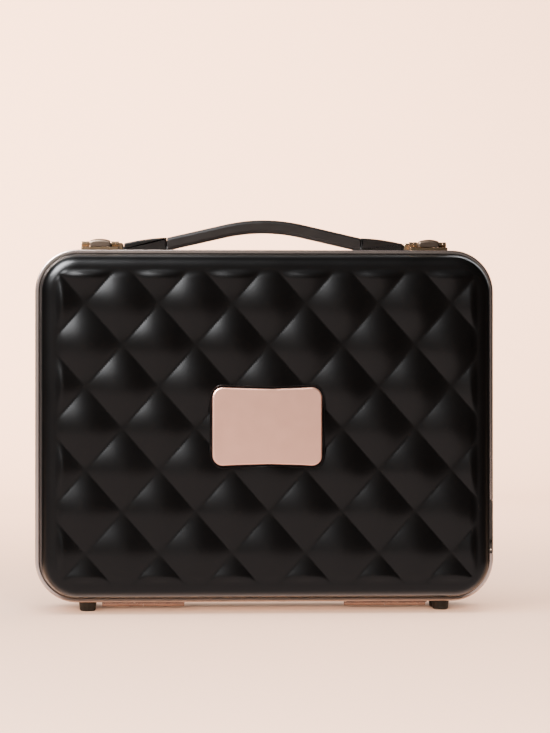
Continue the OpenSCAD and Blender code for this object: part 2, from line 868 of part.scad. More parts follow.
module tray_dividers() {
    edge_x = liner_w / 2 - liner_t - divider_gap;
    edge_z = liner_h / 2 - liner_t - divider_gap;
    t = divider_t / 2;
    color([0.55, 0.42, 0.38]) in_base() translate([0, 0, middle_z]) {
        for (x = [-divider_x, divider_x]) divider(x - t, x + t, -edge_z, edge_z);
        divider(-edge_x, -divider_x, divider_left_z - t, divider_left_z + t);
        divider(-divider_x, divider_x, divider_middle_z - t, divider_middle_z + t);
        for (z = [-divider_right_z, divider_right_z]) divider(divider_x, edge_x, z - t, z + t);
    }
}

module lid_liner() {
    color([0.16, 0.13, 0.13]) in_lid() {
        difference() {
            sheet(over, mirror_seat + liner_t) rounded(liner_w, liner_h, liner_r);
            sheet(0, mirror_seat)
                rounded(liner_w - 2 * liner_t, liner_h - 2 * liner_t, liner_r - liner_t);
        }
        for (x = [-post_x, 0, post_x])
            for (z = [-post_z, post_z])
                translate([x, mirror_seat + liner_t, middle_z + z]) rotate([-90, 0, 0])
                    cylinder(d = post_d, h = lid_floor - mirror_seat - liner_t);
    }
}

module mirror_glass() {
    color([0.82, 0.86, 0.88]) in_lid()
        sheet(mirror_seat - mirror_t, mirror_seat) rounded(mirror_w, mirror_h, mirror_r);
}

module light_diffuser() {
    inner = 2 * light_wall;
    color([0.94, 0.93, 0.90]) in_lid() difference() {
        sheet(mirror_seat - light_depth, mirror_seat) loop(ring_w, ring_h, ring_r, light_w);
        sheet(mirror_seat - light_depth + light_wall, mirror_seat + over)
            loop(ring_w - inner, ring_h - inner, ring_r - light_wall, light_w - inner);
    }
}

module light_board() {
    inner = 2 * strip_inset;
    color([0.90, 0.90, 0.86]) in_lid() sheet(mirror_seat - strip_t, mirror_seat)
        loop(ring_w - inner, ring_h - inner, ring_r - strip_inset, light_w - inner);
}

module touch_switch() {
    color([0.80, 0.62, 0.54]) in_lid()
        translate([0, mirror_seat - switch_t, middle_z - ring_h / 2 - switch_drop]) rotate([-90, 0, 0])
            cylinder(d = switch_d, h = switch_t);
}

module battery_pack() {
    color([0.30, 0.36, 0.46]) in_lid()
        translate([-battery_w, lid_floor - battery_t, middle_z - battery_drop])
            cube([battery_w, battery_t, battery_h]);
}

module control_board() {
    top = lid_floor - board_clear - board_t;
    color([0.16, 0.34, 0.22]) in_lid() translate([board_x, top, middle_z - board_drop]) {
        cube([board_w, board_t, board_h]);
        for (x = [standoff_inset, board_w - standoff_inset])
            for (z = [standoff_inset, board_h - standoff_inset])
                translate([x, board_t, z]) rotate([-90, 0, 0]) cylinder(d = standoff_d, h = board_clear);
    }
}

// Port panel, let into the right side of the front frame

module port_panel() {
    button_room = button_sink + button_len + button_travel + fit_gap;
    color([0.08, 0.08, 0.085]) in_lid() difference() {
        translate([port_x0, port_d0, port_z - port_h / 2]) cube([band_t, port_depth, port_h]);
        translate([port_x0 - over, socket_d - socket_h / 2, socket_z - socket_w / 2])
            cube([band_t + 2 * over, socket_h, socket_w]);
        translate([button_x, lid_band_depth + over, button_z]) rotate([90, 0, 0])
            cylinder(d = button_d + 2 * run_gap, h = over + button_room);
        translate([button_x, lid_band_depth + over, light_z]) rotate([90, 0, 0])
            cylinder(d = pipe_d, h = over + pipe_sink + pipe_len);
    }
}

module charge_socket() {
    bore_h = socket_h - 2 * socket_wall;
    bore_w = socket_w - 2 * socket_wall;
    tongue = socket_w - 2 * socket_tongue_gap;
    color([0.60, 0.60, 0.62]) in_lid() translate([socket_x1 - socket_len, socket_d, socket_z]) difference() {
        translate([0, -socket_h / 2, -socket_w / 2]) cube([socket_len, socket_h, socket_w]);
        difference() {
            translate([over, -bore_h / 2, -bore_w / 2]) cube([socket_len, bore_h, bore_w]);
            translate([0, -socket_tongue_t / 2, -tongue / 2])
                cube([socket_len - socket_tongue_gap, socket_tongue_t, tongue]);
        }
    }
}

module status_light() {
    color([0.85, 0.88, 0.90]) in_lid() translate([button_x, lid_band_depth - pipe_sink, light_z])
        rotate([90, 0, 0]) cylinder(d = pipe_d, h = pipe_len);
}

module power_button() {
    color([0.05, 0.05, 0.05]) in_lid() translate([button_x, lid_band_depth - button_sink, button_z])
        rotate([90, 0, 0]) cylinder(d = button_d, h = button_len);
}

base_shell();
base_frame();
frame_seal();
base_liner();
tray_dividers();
left() handle_bracket();  // handle_bracket_left
handle_bracket();  // handle_bracket_right
left() keeper();  // keeper_left
keeper();  // keeper_right
left() hinge_leaf_base();  // hinge_leaf_base_left
hinge_leaf_base();  // hinge_leaf_base_right
left() hinge_pin();  // hinge_pin_left
hinge_pin();  // hinge_pin_right
base_rivets();
foot(-foot_x, foot_rear_y);  // foot_rear_left
foot(foot_x, foot_rear_y);  // foot_rear_right
handle_grip();
handle_core();
left() handle_end();  // handle_end_left
handle_end();  // handle_end_right
left() handle_tongue();  // handle_tongue_left
handle_tongue();  // handle_tongue_right
left() handle_pin();  // handle_pin_left
handle_pin();  // handle_pin_right
lid_shell();
lid_frame();
name_plate();
lid_liner();
mirror_glass();
light_diffuser();
light_board();
touch_switch();
battery_pack();
control_board();
port_panel();
charge_socket();
status_light();
power_button();
left() hinge_leaf_lid();  // hinge_leaf_lid_left
hinge_leaf_lid();  // hinge_leaf_lid_right
foot(-foot_x, foot_front_y);  // foot_front_left
foot(foot_x, foot_front_y);  // foot_front_right
left() latch_plate();  // latch_plate_left
latch_plate();  // latch_plate_right
left() latch_pins();  // latch_pins_left
latch_pins();  // latch_pins_right
lid_rivets();
left() latch_lever();  // latch_lever_left
latch_lever();  // latch_lever_right
left() hook_pin();  // hook_pin_left
hook_pin();  // hook_pin_right
left() latch_hook();  // latch_hook_left
latch_hook();  // latch_hook_right
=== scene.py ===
import math

import bmesh
import bpy
from bpy.props import FloatProperty, FloatVectorProperty, IntProperty, PointerProperty
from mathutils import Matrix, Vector


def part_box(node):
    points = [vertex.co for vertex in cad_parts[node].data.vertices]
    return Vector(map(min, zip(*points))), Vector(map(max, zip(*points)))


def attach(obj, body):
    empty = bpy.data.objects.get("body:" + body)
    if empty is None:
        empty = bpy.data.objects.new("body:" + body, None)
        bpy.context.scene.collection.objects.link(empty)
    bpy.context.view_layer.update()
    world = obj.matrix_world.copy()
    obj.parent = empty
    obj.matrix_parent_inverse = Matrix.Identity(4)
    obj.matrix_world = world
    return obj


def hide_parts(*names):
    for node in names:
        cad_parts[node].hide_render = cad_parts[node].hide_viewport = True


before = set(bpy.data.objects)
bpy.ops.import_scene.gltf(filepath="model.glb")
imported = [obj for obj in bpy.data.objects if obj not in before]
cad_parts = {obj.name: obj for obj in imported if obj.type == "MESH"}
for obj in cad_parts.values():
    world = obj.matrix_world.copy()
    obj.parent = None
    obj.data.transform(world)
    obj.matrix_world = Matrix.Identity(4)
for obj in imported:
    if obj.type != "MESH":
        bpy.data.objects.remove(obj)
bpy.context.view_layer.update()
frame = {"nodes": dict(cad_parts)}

bl_info = {
    "name": "Makeup Case",
    "version": (1, 0, 0),
    "blender": (4, 5, 0),
    "location": "3D View > Sidebar > Makeup Case",
    "description": "Dresses the quilted makeup case: shells, frames, fittings, handle, inside and stage",
    "category": "Object",
}

MM = 0.001
LEFT, RIGHT = -1, 1
FRONT, BACK = -1, 1

# The frame's own places: the split between the halves, the case's middle and its outer sizes
BACK_LOW, BACK_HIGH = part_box("base_frame")
FRONT_LOW, FRONT_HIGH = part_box("lid_frame")
SPLIT_Y = (FRONT_HIGH.y + BACK_LOW.y) / 2
HALF_W = BACK_HIGH.x
HALF_H = (BACK_HIGH.z - BACK_LOW.z) / 2
MIDDLE_Z = (BACK_HIGH.z + BACK_LOW.z) / 2
FRAME_TOP = BACK_HIGH.z
FRAME_BOTTOM = BACK_LOW.z

# Sizes that more than one piece shares
FACE_GAP = 0.15 * MM       # from the split to a frame's face
LEAF_T = 1.2 * MM          # thickness of a hinge leaf
LATCH_PLATE_T = 2.3 * MM   # thickness of a latch's base plate
LATCH_PIN_Y = 3.0 * MM     # from the split forward to the lever's pin
LATCH_PIN_Z = 4.75 * MM    # from the frames' top up to the lever's pin
KEEPER_T = 1.2 * MM        # thickness of a keeper's foot
TAB_T = 1.4 * MM           # thickness of a bracket's tab
LINER_RIM = 1.4 * MM       # from the split to a liner's rim
MIRROR_CORNER = 12 * MM    # corner radius of the mirror
PAST = 1.0 * MM            # how far a cutter reaches past what it cuts


def length(label, about, value):
    """A size that a user would change, in metres."""
    return FloatProperty(name=label, description=about, default=value, min=0.0, unit="LENGTH", precision=5)


def colour(label, about, value):
    """A colour that a user would change."""
    return FloatVectorProperty(name=label, description=about, default=value, size=3, min=0.0, max=1.0,
                               subtype="COLOR")


class QuiltSizes(bpy.types.PropertyGroup):
    """Sizes of the two quilted shells"""
    diamond_w: length("Diamond Width", "Width of one quilted diamond", 0.0568)
    diamond_h: length("Diamond Height", "Height of one quilted diamond", 0.0645)
    relief: length("Relief", "Depth of the creases between the diamonds", 0.005)
    fade: length("Fade", "Width of the strip in which the diamonds roll over to the edge", 0.007)
    aside: length("Aside", "How far the middle crossing of the creases stands to the right", 0.0014)
    below: length("Below", "How far the middle crossing of the creases stands below the middle", 0.0012)
    edge: length("Edge Radius", "Radius of the edge between a shell's face and its wall", 0.010)
    draft: length("Draft", "How far a shell's wall leans in", 0.002)
    fullness: FloatProperty(name="Fullness", default=0.92, min=0.3, max=2.0,
                            description="How roundly a diamond falls to its creases: less is fuller")
    wall: length("Wall", "Wall of a shell at its rim", 0.0048)
    floor: length("Floor", "Depth of a shell's floor under its crown", 0.0075)
    corner: length("Field Corner", "Corner radius of the quilted field inside the rounded edge", 0.018)
    cells: IntProperty(name="Cells", description="Grid cells across one diamond", default=44, min=8, max=48)


class FrameSizes(bpy.types.PropertyGroup):
    """Sizes of the two metal frames"""
    corner: length("Corner Radius", "Radius of the frames' corners", 0.033)
    band: length("Band", "Thickness of the frames' outer band", 0.0035)
    bead: length("Bead", "Radius of the rounded free edge", 0.0011)
    split_round: length("Split Rounding", "Rounding of the edges at the split", 0.0005)
    flange: length("Flange", "Thickness of the flanges that meet at the split", 0.003)
    flange_reach: length("Flange Reach", "How far the flanges reach in from the outside", 0.0082)
    seal_inset: length("Seal Inset", "Distance from the outside to the seal's groove", 0.0045)
    seal_w: length("Seal Groove", "Width of the seal's groove", 0.0024)
    seal_t: length("Seal Depth", "Depth of the seal's groove", 0.0015)


class PlateSizes(bpy.types.PropertyGroup):
    """Sizes of the bare name plate and its recess"""
    corner: length("Corner Radius", "Radius of the plate's corners", 0.008)
    bow: length("Bow", "How far the plate's long edges bow inward", 0.001)
    edge: length("Edge", "Rounding of the plate's front edge", 0.0013)
    gap: length("Gap", "Gap round the plate in its recess", 0.0014)
    lip: length("Lip", "Width of the recess's rounded lip", 0.0009)
    lip_height: length("Lip Height", "Height of the lip above the recess floor", 0.0012)


class HandleSizes(bpy.types.PropertyGroup):
    """Sizes of the handle and its brackets"""
    rise: length("Rise", "How far the grip's middle stands above its ends", 0.014)
    crown: length("Crown", "Half the length of the grip's round crown", 0.031)
    thickness: length("Thickness", "Thickness of the grip", 0.010)
    bevel: length("Bevel", "Bevel along the grip", 0.0022)
    tip: length("Tip", "Thickness of a handle end at its bracket", 0.0055)
    pocket: length("Pocket Radius", "Radius of the pocket for a handle end's nose", 0.0058)
    pocket_w: length("Pocket Width", "Width of the pocket for a handle end's nose", 0.0116)
    nose: length("Nose Radius", "Radius of a handle end's nose", 0.0055)
    nose_w: length("Nose Width", "Width of a handle end's nose", 0.011)


class LatchSizes(bpy.types.PropertyGroup):
    """Sizes of the latches, hinges, feet and rivets"""
    edge: length("Edge", "Rounding of the latches' edges", 0.0004)
    knuckle: length("Latch Knuckle", "Diameter of the latch knuckles", 0.0045)
    hinge_knuckle: length("Hinge Knuckle", "Diameter of the hinge knuckles", 0.0043)
    crown: length("Crown Radius", "Radius of the lever's crown across its width", 0.022)
    foot_round: length("Foot Rounding", "Rounding of a foot's lower edge", 0.0016)
    rivet_head: length("Rivet Head", "Diameter of a rivet's head", 0.0038)


class InsideSizes(bpy.types.PropertyGroup):
    """Sizes of what is inside the case"""
    liner: length("Liner", "Wall of the two liners", 0.0015)
    fillet: length("Fillet", "Rounding between a liner's wall and its floor", 0.005)
    bevel: length("Mirror Bevel", "Bevel of the mirror's edge", 0.0012)
    light_w: length("Light Ring", "Width of the light ring round the mirror", 0.015)
    led_pitch: length("Lamp Spacing", "Distance between the lamps on the light strip", 0.0165)


class CaseColours(bpy.types.PropertyGroup):
    """Colours of the case's finishes"""
    shell: colour("Shells", "Satin black of the quilted shells", (0.0006, 0.0007, 0.0009))
    frame: colour("Frames", "Champagne of the two frames", (0.53, 0.425, 0.375))
    plate: colour("Plate", "Rose gold of the bare plate", (1.0, 0.52, 0.375))
    latch: colour("Latches", "Pale brass of the latches and brackets", (0.37, 0.25, 0.15))
    lever: colour("Levers", "Darker satin brass of the levers", (0.14, 0.100, 0.074))
    hinge: colour("Hinges", "Rose gold of the hinges", (0.44, 0.34, 0.31))
    grip: colour("Grip", "Black covering of the handle", (0.0035, 0.0037, 0.0042))
    rubber: colour("Rubber", "Black rubber of the feet and the seal", (0.004, 0.0044, 0.0044))
    lining: colour("Lining", "Flocked lining", (0.030, 0.021, 0.021))
    divider: colour("Dividers", "Suede of the tray's dividers", (0.30, 0.17, 0.14))
    panel: colour("Port Panel", "Satin black of the port panel", (0.011, 0.011, 0.012))
    steel: colour("Steel", "Pins, screws and the socket", (0.60, 0.60, 0.62))
    mirror: colour("Mirror", "Silver behind the mirror's glass", (0.86, 0.89, 0.90))
    opal: colour("Diffuser", "Milky plastic of the light ring", (0.84, 0.82, 0.78))
    strip: colour("Lamp Strip", "White board under the lamps", (0.78, 0.78, 0.74))
    lamp: colour("Lamps", "Unlit lamps of the light ring", (0.80, 0.62, 0.16))
    board: colour("Circuit Board", "Lacquer of the control board", (0.015, 0.10, 0.045))
    battery: colour("Battery", "Wrap of the battery", (0.05, 0.085, 0.16))
    pipe: colour("Light Pipe", "Clear end of the status light", (0.82, 0.86, 0.88))


class StageSizes(bpy.types.PropertyGroup):
    """Floor, backdrop and light of the studio"""
    paper: colour("Paper", "Colour of the floor and the backdrop", (0.93, 0.78, 0.69))
    distance: length("Camera Distance", "Distance from the camera to the case's middle", 2.158)
    azimuth: FloatProperty(name="Azimuth", description="Camera's place round the case", subtype="ANGLE",
                           default=math.radians(-3.05))
    elevation: FloatProperty(name="Elevation", description="Camera's height above the case's middle",
                             subtype="ANGLE", default=math.radians(1.15))
    pan: FloatProperty(name="Pan", description="How far the camera turns to the right of the case's middle",
                       subtype="ANGLE", default=math.radians(0.237))
    tilt: FloatProperty(name="Tilt", description="How far the camera turns up from the case's middle",
                        subtype="ANGLE", default=math.radians(1.236))
    focal: FloatProperty(name="Focal Length", default=89.1,
                         description="Focal length on a sensor 24 mm high, in millimetres")
    key: FloatProperty(name="Key Light", default=92.0, min=0.0,
                       description="Power of the large light on the left, in watts")
    top: FloatProperty(name="Top Light", default=70.0, min=0.0,
                       description="Power of the light overhead, in watts")
    sheen: FloatProperty(name="Sheen", default=1.0, min=0.0,
                         description="Brightness of the soft boxes that show as sheen on the case")


# Outlines, as points in a plane

def arc(centre, radius, start, end, steps):
    """Points of an arc between two angles in degrees, ends included."""
    angles = [math.radians(start + (end - start) * k / steps) for k in range(steps + 1)]
    return [(centre[0] + radius * math.cos(a), centre[1] + radius * math.sin(a)) for a in angles]


def quarter(steps, turn=90):
    """Angles of a quarter turn, or of another turn in degrees, ends included."""
    return [math.radians(turn * k / steps) for k in range(steps + 1)]


def rounded(points, radius, steps=5):
    """A counterclockwise polygon with its corners turned into arcs; radius is one value or one a corner."""
    result = []
    count = len(points)
    radii = radius if isinstance(radius, (list, tuple)) else [radius] * count
    for i, (point, r) in enumerate(zip(points, radii)):
        corner = Vector(point)
        before = (Vector(points[i - 1]) - corner).normalized()
        after = (Vector(points[(i + 1) % count]) - corner).normalized()
        half = before.angle(after) / 2
        if r <= 0 or half > math.radians(89):
            result.append(tuple(corner))
            continue
        reach = r / math.tan(half)
        centre = corner + (before + after).normalized() * (r / math.sin(half))
        first = corner + before * reach - centre
        turn = math.pi - 2 * half
        cross = before.x * after.y - before.y * after.x
        sign = 1 if cross < 0 else -1
        for k in range(steps + 1):
            a = sign * turn * k / steps
            result.append((centre.x + first.x * math.cos(a) - first.y * math.sin(a),
                           centre.y + first.x * math.sin(a) + first.y * math.cos(a)))
    return result


def rectangle(u0, u1, v0, v1):
    """Corners of a rectangle, counterclockwise."""
    return [(u0, v0), (u1, v0), (u1, v1), (u0, v1)]


def inset(outline, by):
    """The outline moved inward, corner by corner."""
    result = []
    count = len(outline)
    for i in range(count):
        a, b, c = Vector(outline[i - 1]), Vector(outline[i]), Vector(outline[(i + 1) % count])
        first, second = (b - a).normalized(), (c - b).normalized()
        n1, n2 = Vector((-first.y, first.x)), Vector((-second.y, second.x))
        moved = b + (n1 + n2) * (by / max(1 + n1.dot(n2), 0.2))
        result.append((moved.x, moved.y))
    return result


def frame_path(half_w, half_h, radius, steps=20):
    """Points of a rounded rectangle with the direction that points outward at each."""
    path = []
    for sx, sz, start in ((1, 1, 0), (-1, 1, 90), (-1, -1, 180), (1, -1, 270)):
        centre = (sx * (half_w - radius), sz * (half_h - radius))
        for k in range(steps + 1):
            a = math.radians(start + 90 * k / steps)
            out = (math.cos(a), math.sin(a))
            path.append(((centre[0] + radius * out[0], centre[1] + radius * out[1]), out))
    return path


# Solids, added to a mesh that is being built

def loft(bm, rings, capped=True):
    """Skin over rings of points; the ends are closed by a face, or the last ring is joined to the first."""
    rows = [[bm.verts.new(p) for p in ring] for ring in rings]
    pairs = list(zip(rows, rows[1:])) + ([] if capped else [(rows[-1], rows[0])])
    for low, high in pairs:
        count = len(low)
        for k in range(count):
            bm.faces.new((low[k], low[(k + 1) % count], high[(k + 1) % count], high[k]))
    if capped:
        bm.faces.new(rows[0][::-1])
        bm.faces.new(rows[-1])


def prism(bm, outline, low, high, edge, put, steps=4):
    """A slab between two levels, with both its end edges rounded."""
    turns = quarter(steps) if edge > 0 else [math.pi / 2]
    rings = []
    for a in turns:
        ring = inset(outline, edge * (1 - math.sin(a)))
        rings.append([put(u, v, low + edge * (1 - math.cos(a))) for u, v in ring])
    for a in reversed(turns):
        ring = inset(outline, edge * (1 - math.sin(a)))
        rings.append([put(u, v, high - edge * (1 - math.cos(a))) for u, v in ring])
    loft(bm, rings)


def lathe(bm, profile, put, steps=40):
    """A turned solid; profile holds (radius, level) from one end of its axis to the other."""
    rings = []
    for radius, level in profile:
        rings.append([put(radius * math.cos(a), radius * math.sin(a), level)
                      for a in (2 * math.pi * k / steps for k in range(steps))])
    loft(bm, rings)


def rod_profile(radius, low, high, edge):
    """Profile of a rod with rounded ends."""
    start = [(radius - edge * (1 - math.sin(a)), low + edge * (1 - math.cos(a))) for a in quarter(3)]
    return start + [(r, low + high - level) for r, level in reversed(start)]


def sweep(bm, path, profile, put, capped=False):
    """A rail along a closed path; profile holds (outward offset, level)."""
    loft(bm, [[put(p[0] + out[0] * offset, p[1] + out[1] * offset, level) for p, out in path]
              for offset, level in profile], capped)


def box_solid(bm, low, high, edge):
    """A block with rounded edges."""
    outline = rounded(rectangle(low[0], high[0], low[1], high[1]), edge, 3)
    prism(bm, outline, low[2], high[2], edge, lambda u, v, t: Vector((u, v, t)), 3)


# Where a plane outline and its level go in the case

def facing(side):
    """Outline in the case's front plane, level outward from the split."""
    return lambda u, v, t: Vector((u, SPLIT_Y + side * t, MIDDLE_Z + v))


def along_x(y=0.0, z=0.0):
    """Outline across the case's width, level along it."""
    return lambda u, v, t: Vector((t, y + u, z + v))


def along_y(x=0.0, z=0.0):
    """Outline in the front plane, level from front to back."""
    return lambda u, v, t: Vector((x + u, t, z + v))


def along_z(x=0.0, y=0.0):
    """Outline seen from above, level upward."""
    return lambda u, v, t: Vector((x + u, y + v, t))


# Pieces

def piece(name, bm, material, body, nodes=(), sharp=38.0, flat=True):
    """Turns a built mesh into a finished piece that rides on a body and stands for its nodes."""
    bmesh.ops.recalc_face_normals(bm, faces=bm.faces)
    mesh = bpy.data.meshes.new(name)
    bm.to_mesh(mesh)
    bm.free()
    return dress(bpy.data.objects.new(name, mesh), material, body, nodes, sharp, flat)


def dress(obj, material, body, nodes=(), sharp=38.0, flat=True):
    """Gives a piece its shading, finish, body, slot and nodes."""
    if obj.name not in bpy.context.scene.collection.objects:
        bpy.context.scene.collection.objects.link(obj)
    mesh = obj.data
    mesh.materials.clear()
    mesh.materials.append(material)
    mesh.polygons.foreach_set("use_smooth", [True] * len(mesh.polygons))
    mesh.polygons.foreach_set("material_index", [0] * len(mesh.polygons))
    mesh.set_sharp_from_angle(angle=math.radians(sharp))
    if flat:
        weigh = obj.modifiers.new("Flat Faces", "WEIGHTED_NORMAL")
        weigh.keep_sharp = True
        weigh.weight = 80
    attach(obj, body)
    if nodes:
        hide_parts(*nodes)
    return obj


def loose(name, bm):
    """A helper object, such as a cutter, that doesn't stay in the scene."""
    bmesh.ops.recalc_face_normals(bm, faces=bm.faces)
    mesh = bpy.data.meshes.new(name)
    bm.to_mesh(mesh)
    bm.free()
    obj = bpy.data.objects.new(name, mesh)
    bpy.context.scene.collection.objects.link(obj)
    return obj


def settle(obj):
    """Makes the object's modifiers part of its mesh."""
    bpy.context.view_layer.update()
    graph = bpy.context.evaluated_depsgraph_get()
    mesh = bpy.data.meshes.new_from_object(obj.evaluated_get(graph), preserve_all_data_layers=True,
                                           depsgraph=graph)
    obj.modifiers.clear()
    old = obj.data
    obj.data = mesh
    bpy.data.meshes.remove(old)
    return obj


def cut(obj, cutter):
    """Cuts one solid out of another."""
    carve = obj.modifiers.new("Cut", "BOOLEAN")
    carve.operation = "DIFFERENCE"
    carve.solver = "MANIFOLD"
    carve.object = cutter
    settle(obj)
    if not obj.data.polygons:
        raise RuntimeError(f"Nothing is left of {obj.name}")
    bpy.data.objects.remove(cutter)
    return obj


# Geometry node trees

class Tree:
    """A geometry node tree whose sizes are named inputs."""

    def __init__(self, name):
        self.group = bpy.data.node_groups.new(name, "GeometryNodeTree")
        self.group.interface.new_socket("Geometry", in_out="INPUT", socket_type="NodeSocketGeometry")
        self.group.interface.new_socket("Geometry", in_out="OUTPUT", socket_type="NodeSocketGeometry")
        self.source = self.group.nodes.new("NodeGroupInput")
        self.sink = self.group.nodes.new("NodeGroupOutput")

    def value(self, name, kind="NodeSocketFloat"):
        """A named input of the tree."""
        self.group.interface.new_socket(name, in_out="INPUT", socket_type=kind)
        return self.source.outputs[name]

    def add(self, kind, inputs=None, **settings):
        """A node with its settings, and its inputs linked or set by name or place."""
        made = self.group.nodes.new(kind)
        for key, setting in settings.items():
            setattr(made, key, setting)
        for key, given in (inputs or {}).items():
            self.join(given, made.inputs[key])
        return made

    def join(self, given, socket):
        """Links a socket, or sets a plain value."""
        if isinstance(given, bpy.types.NodeSocket):
            self.group.links.new(given, socket)
        else:
            socket.default_value = given

    def math(self, operation, a, b=0.0):
        """One step of arithmetic."""
        return self.add("ShaderNodeMath", {0: a, 1: b}, operation=operation).outputs[0]

    def finish(self, geometry, material):
        """Ends the tree with plain geometry in its material."""
        real = self.add("GeometryNodeRealizeInstances", {"Geometry": geometry})
        painted = self.add("GeometryNodeSetMaterial", {"Geometry": real.outputs[0], "Material": material})
        self.group.links.new(painted.outputs[0], self.sink.inputs[0])
        return self.group


def run_tree(obj, group, values):
    """Runs a tree on an object with these named inputs, and keeps the result as its mesh."""
    modifier = obj.modifiers.new(group.name, "NODES")
    modifier.node_group = group
    for item in group.interface.items_tree:
        if item.item_type == "SOCKET" and item.in_out == "INPUT" and item.name in values:
            modifier[item.identifier] = values[item.name]
    return settle(obj)


def quilting_tree():
    """Presses the diamond quilting into the marked field of a flat shell."""
    tree = Tree("Quilting")
    width, height = tree.value("Diamond Width"), tree.value("Diamond Height")
    relief, fade = tree.value("Relief"), tree.value("Fade")
    half_w, half_h = tree.value("Field Half Width"), tree.value("Field Half Height")
    middle, inward = tree.value("Middle Height"), tree.value("Inward")
    aside, below = tree.value("Aside"), tree.value("Below")
    fullness = tree.value("Fullness")
    material = tree.value("Material", "NodeSocketMaterial")
    place = tree.add("ShaderNodeSeparateXYZ", {0: tree.add("GeometryNodeInputPosition").outputs[0]})
    x = place.outputs["X"]
    z = tree.math("SUBTRACT", place.outputs["Z"], middle)
    across = tree.math("DIVIDE", tree.math("SUBTRACT", x, aside), width)
    up = tree.math("DIVIDE", tree.math("ADD", z, below), height)

    def ridge(operation):
        turn = tree.math("MULTIPLY", tree.math(operation, across, up), math.pi)
        return tree.math("POWER", tree.math("ABSOLUTE", tree.math("SINE", turn)), fullness)

    pillow = tree.math("MULTIPLY", ridge("ADD"), ridge("SUBTRACT"))
    to_side = tree.math("SUBTRACT", half_w, tree.math("ABSOLUTE", x))
    to_top = tree.math("SUBTRACT", half_h, tree.math("ABSOLUTE", z))
    near_edge = tree.add("ShaderNodeMapRange", {
        "Value": tree.math("MINIMUM", to_side, to_top), "From Min": 0.0, "From Max": fade,
    }, interpolation_type="SMOOTHSTEP")
    pillow = tree.math("MULTIPLY", pillow, near_edge.outputs["Result"])
    depth = tree.math("MULTIPLY", tree.math("SUBTRACT", 1.0, pillow), relief)
    offset = tree.add("ShaderNodeCombineXYZ", {"Y": tree.math("MULTIPLY", depth, inward)})
    field = tree.add("GeometryNodeInputNamedAttribute", {"Name": "field"}, data_type="BOOLEAN")
    pressed = tree.add("GeometryNodeSetPosition", {
        "Geometry": tree.source.outputs["Geometry"], "Selection": field.outputs["Attribute"],
        "Offset": offset.outputs[0],
    })
    return tree.finish(pressed.outputs[0], material)


def setting_tree():
    """Sets a fastener or a lamp on each point, turned along the point's own direction."""
    tree = Tree("Setting")
    part = tree.value("Part", "NodeSocketObject")
    size = tree.value("Size")
    material = tree.value("Material", "NodeSocketMaterial")
    aim = tree.add("GeometryNodeInputNamedAttribute", {"Name": "aim"}, data_type="FLOAT_VECTOR")
    turned = tree.add("FunctionNodeAlignRotationToVector", {"Vector": aim.outputs["Attribute"]}, axis="Z")
    model = tree.add("GeometryNodeObjectInfo", {"Object": part})
    points = tree.add("GeometryNodeMeshToPoints", {"Mesh": tree.source.outputs["Geometry"]})
    placed = tree.add("GeometryNodeInstanceOnPoints", {
        "Points": points.outputs[0], "Instance": model.outputs["Geometry"],
        "Rotation": turned.outputs[0], "Scale": size,
    })
    return tree.finish(placed.outputs[0], material)


def set_parts(name, part, points, size, material):
    """One mesh that holds a part at each of the points, which are (place, direction)."""
    mesh = bpy.data.meshes.new(name)
    mesh.from_pydata([p for p, _ in points], [], [])
    aim = mesh.attributes.new("aim", "FLOAT_VECTOR", "POINT")
    aim.data.foreach_set("vector", [c for _, d in points for c in d])
    obj = bpy.data.objects.new(name, mesh)
    bpy.context.scene.collection.objects.link(obj)
    group = bpy.data.node_groups.get("Setting") or setting_tree()
    run_tree(obj, group, {"Part": part, "Size": size, "Material": material})
    bpy.data.objects.remove(part)
    return obj


# Finishes

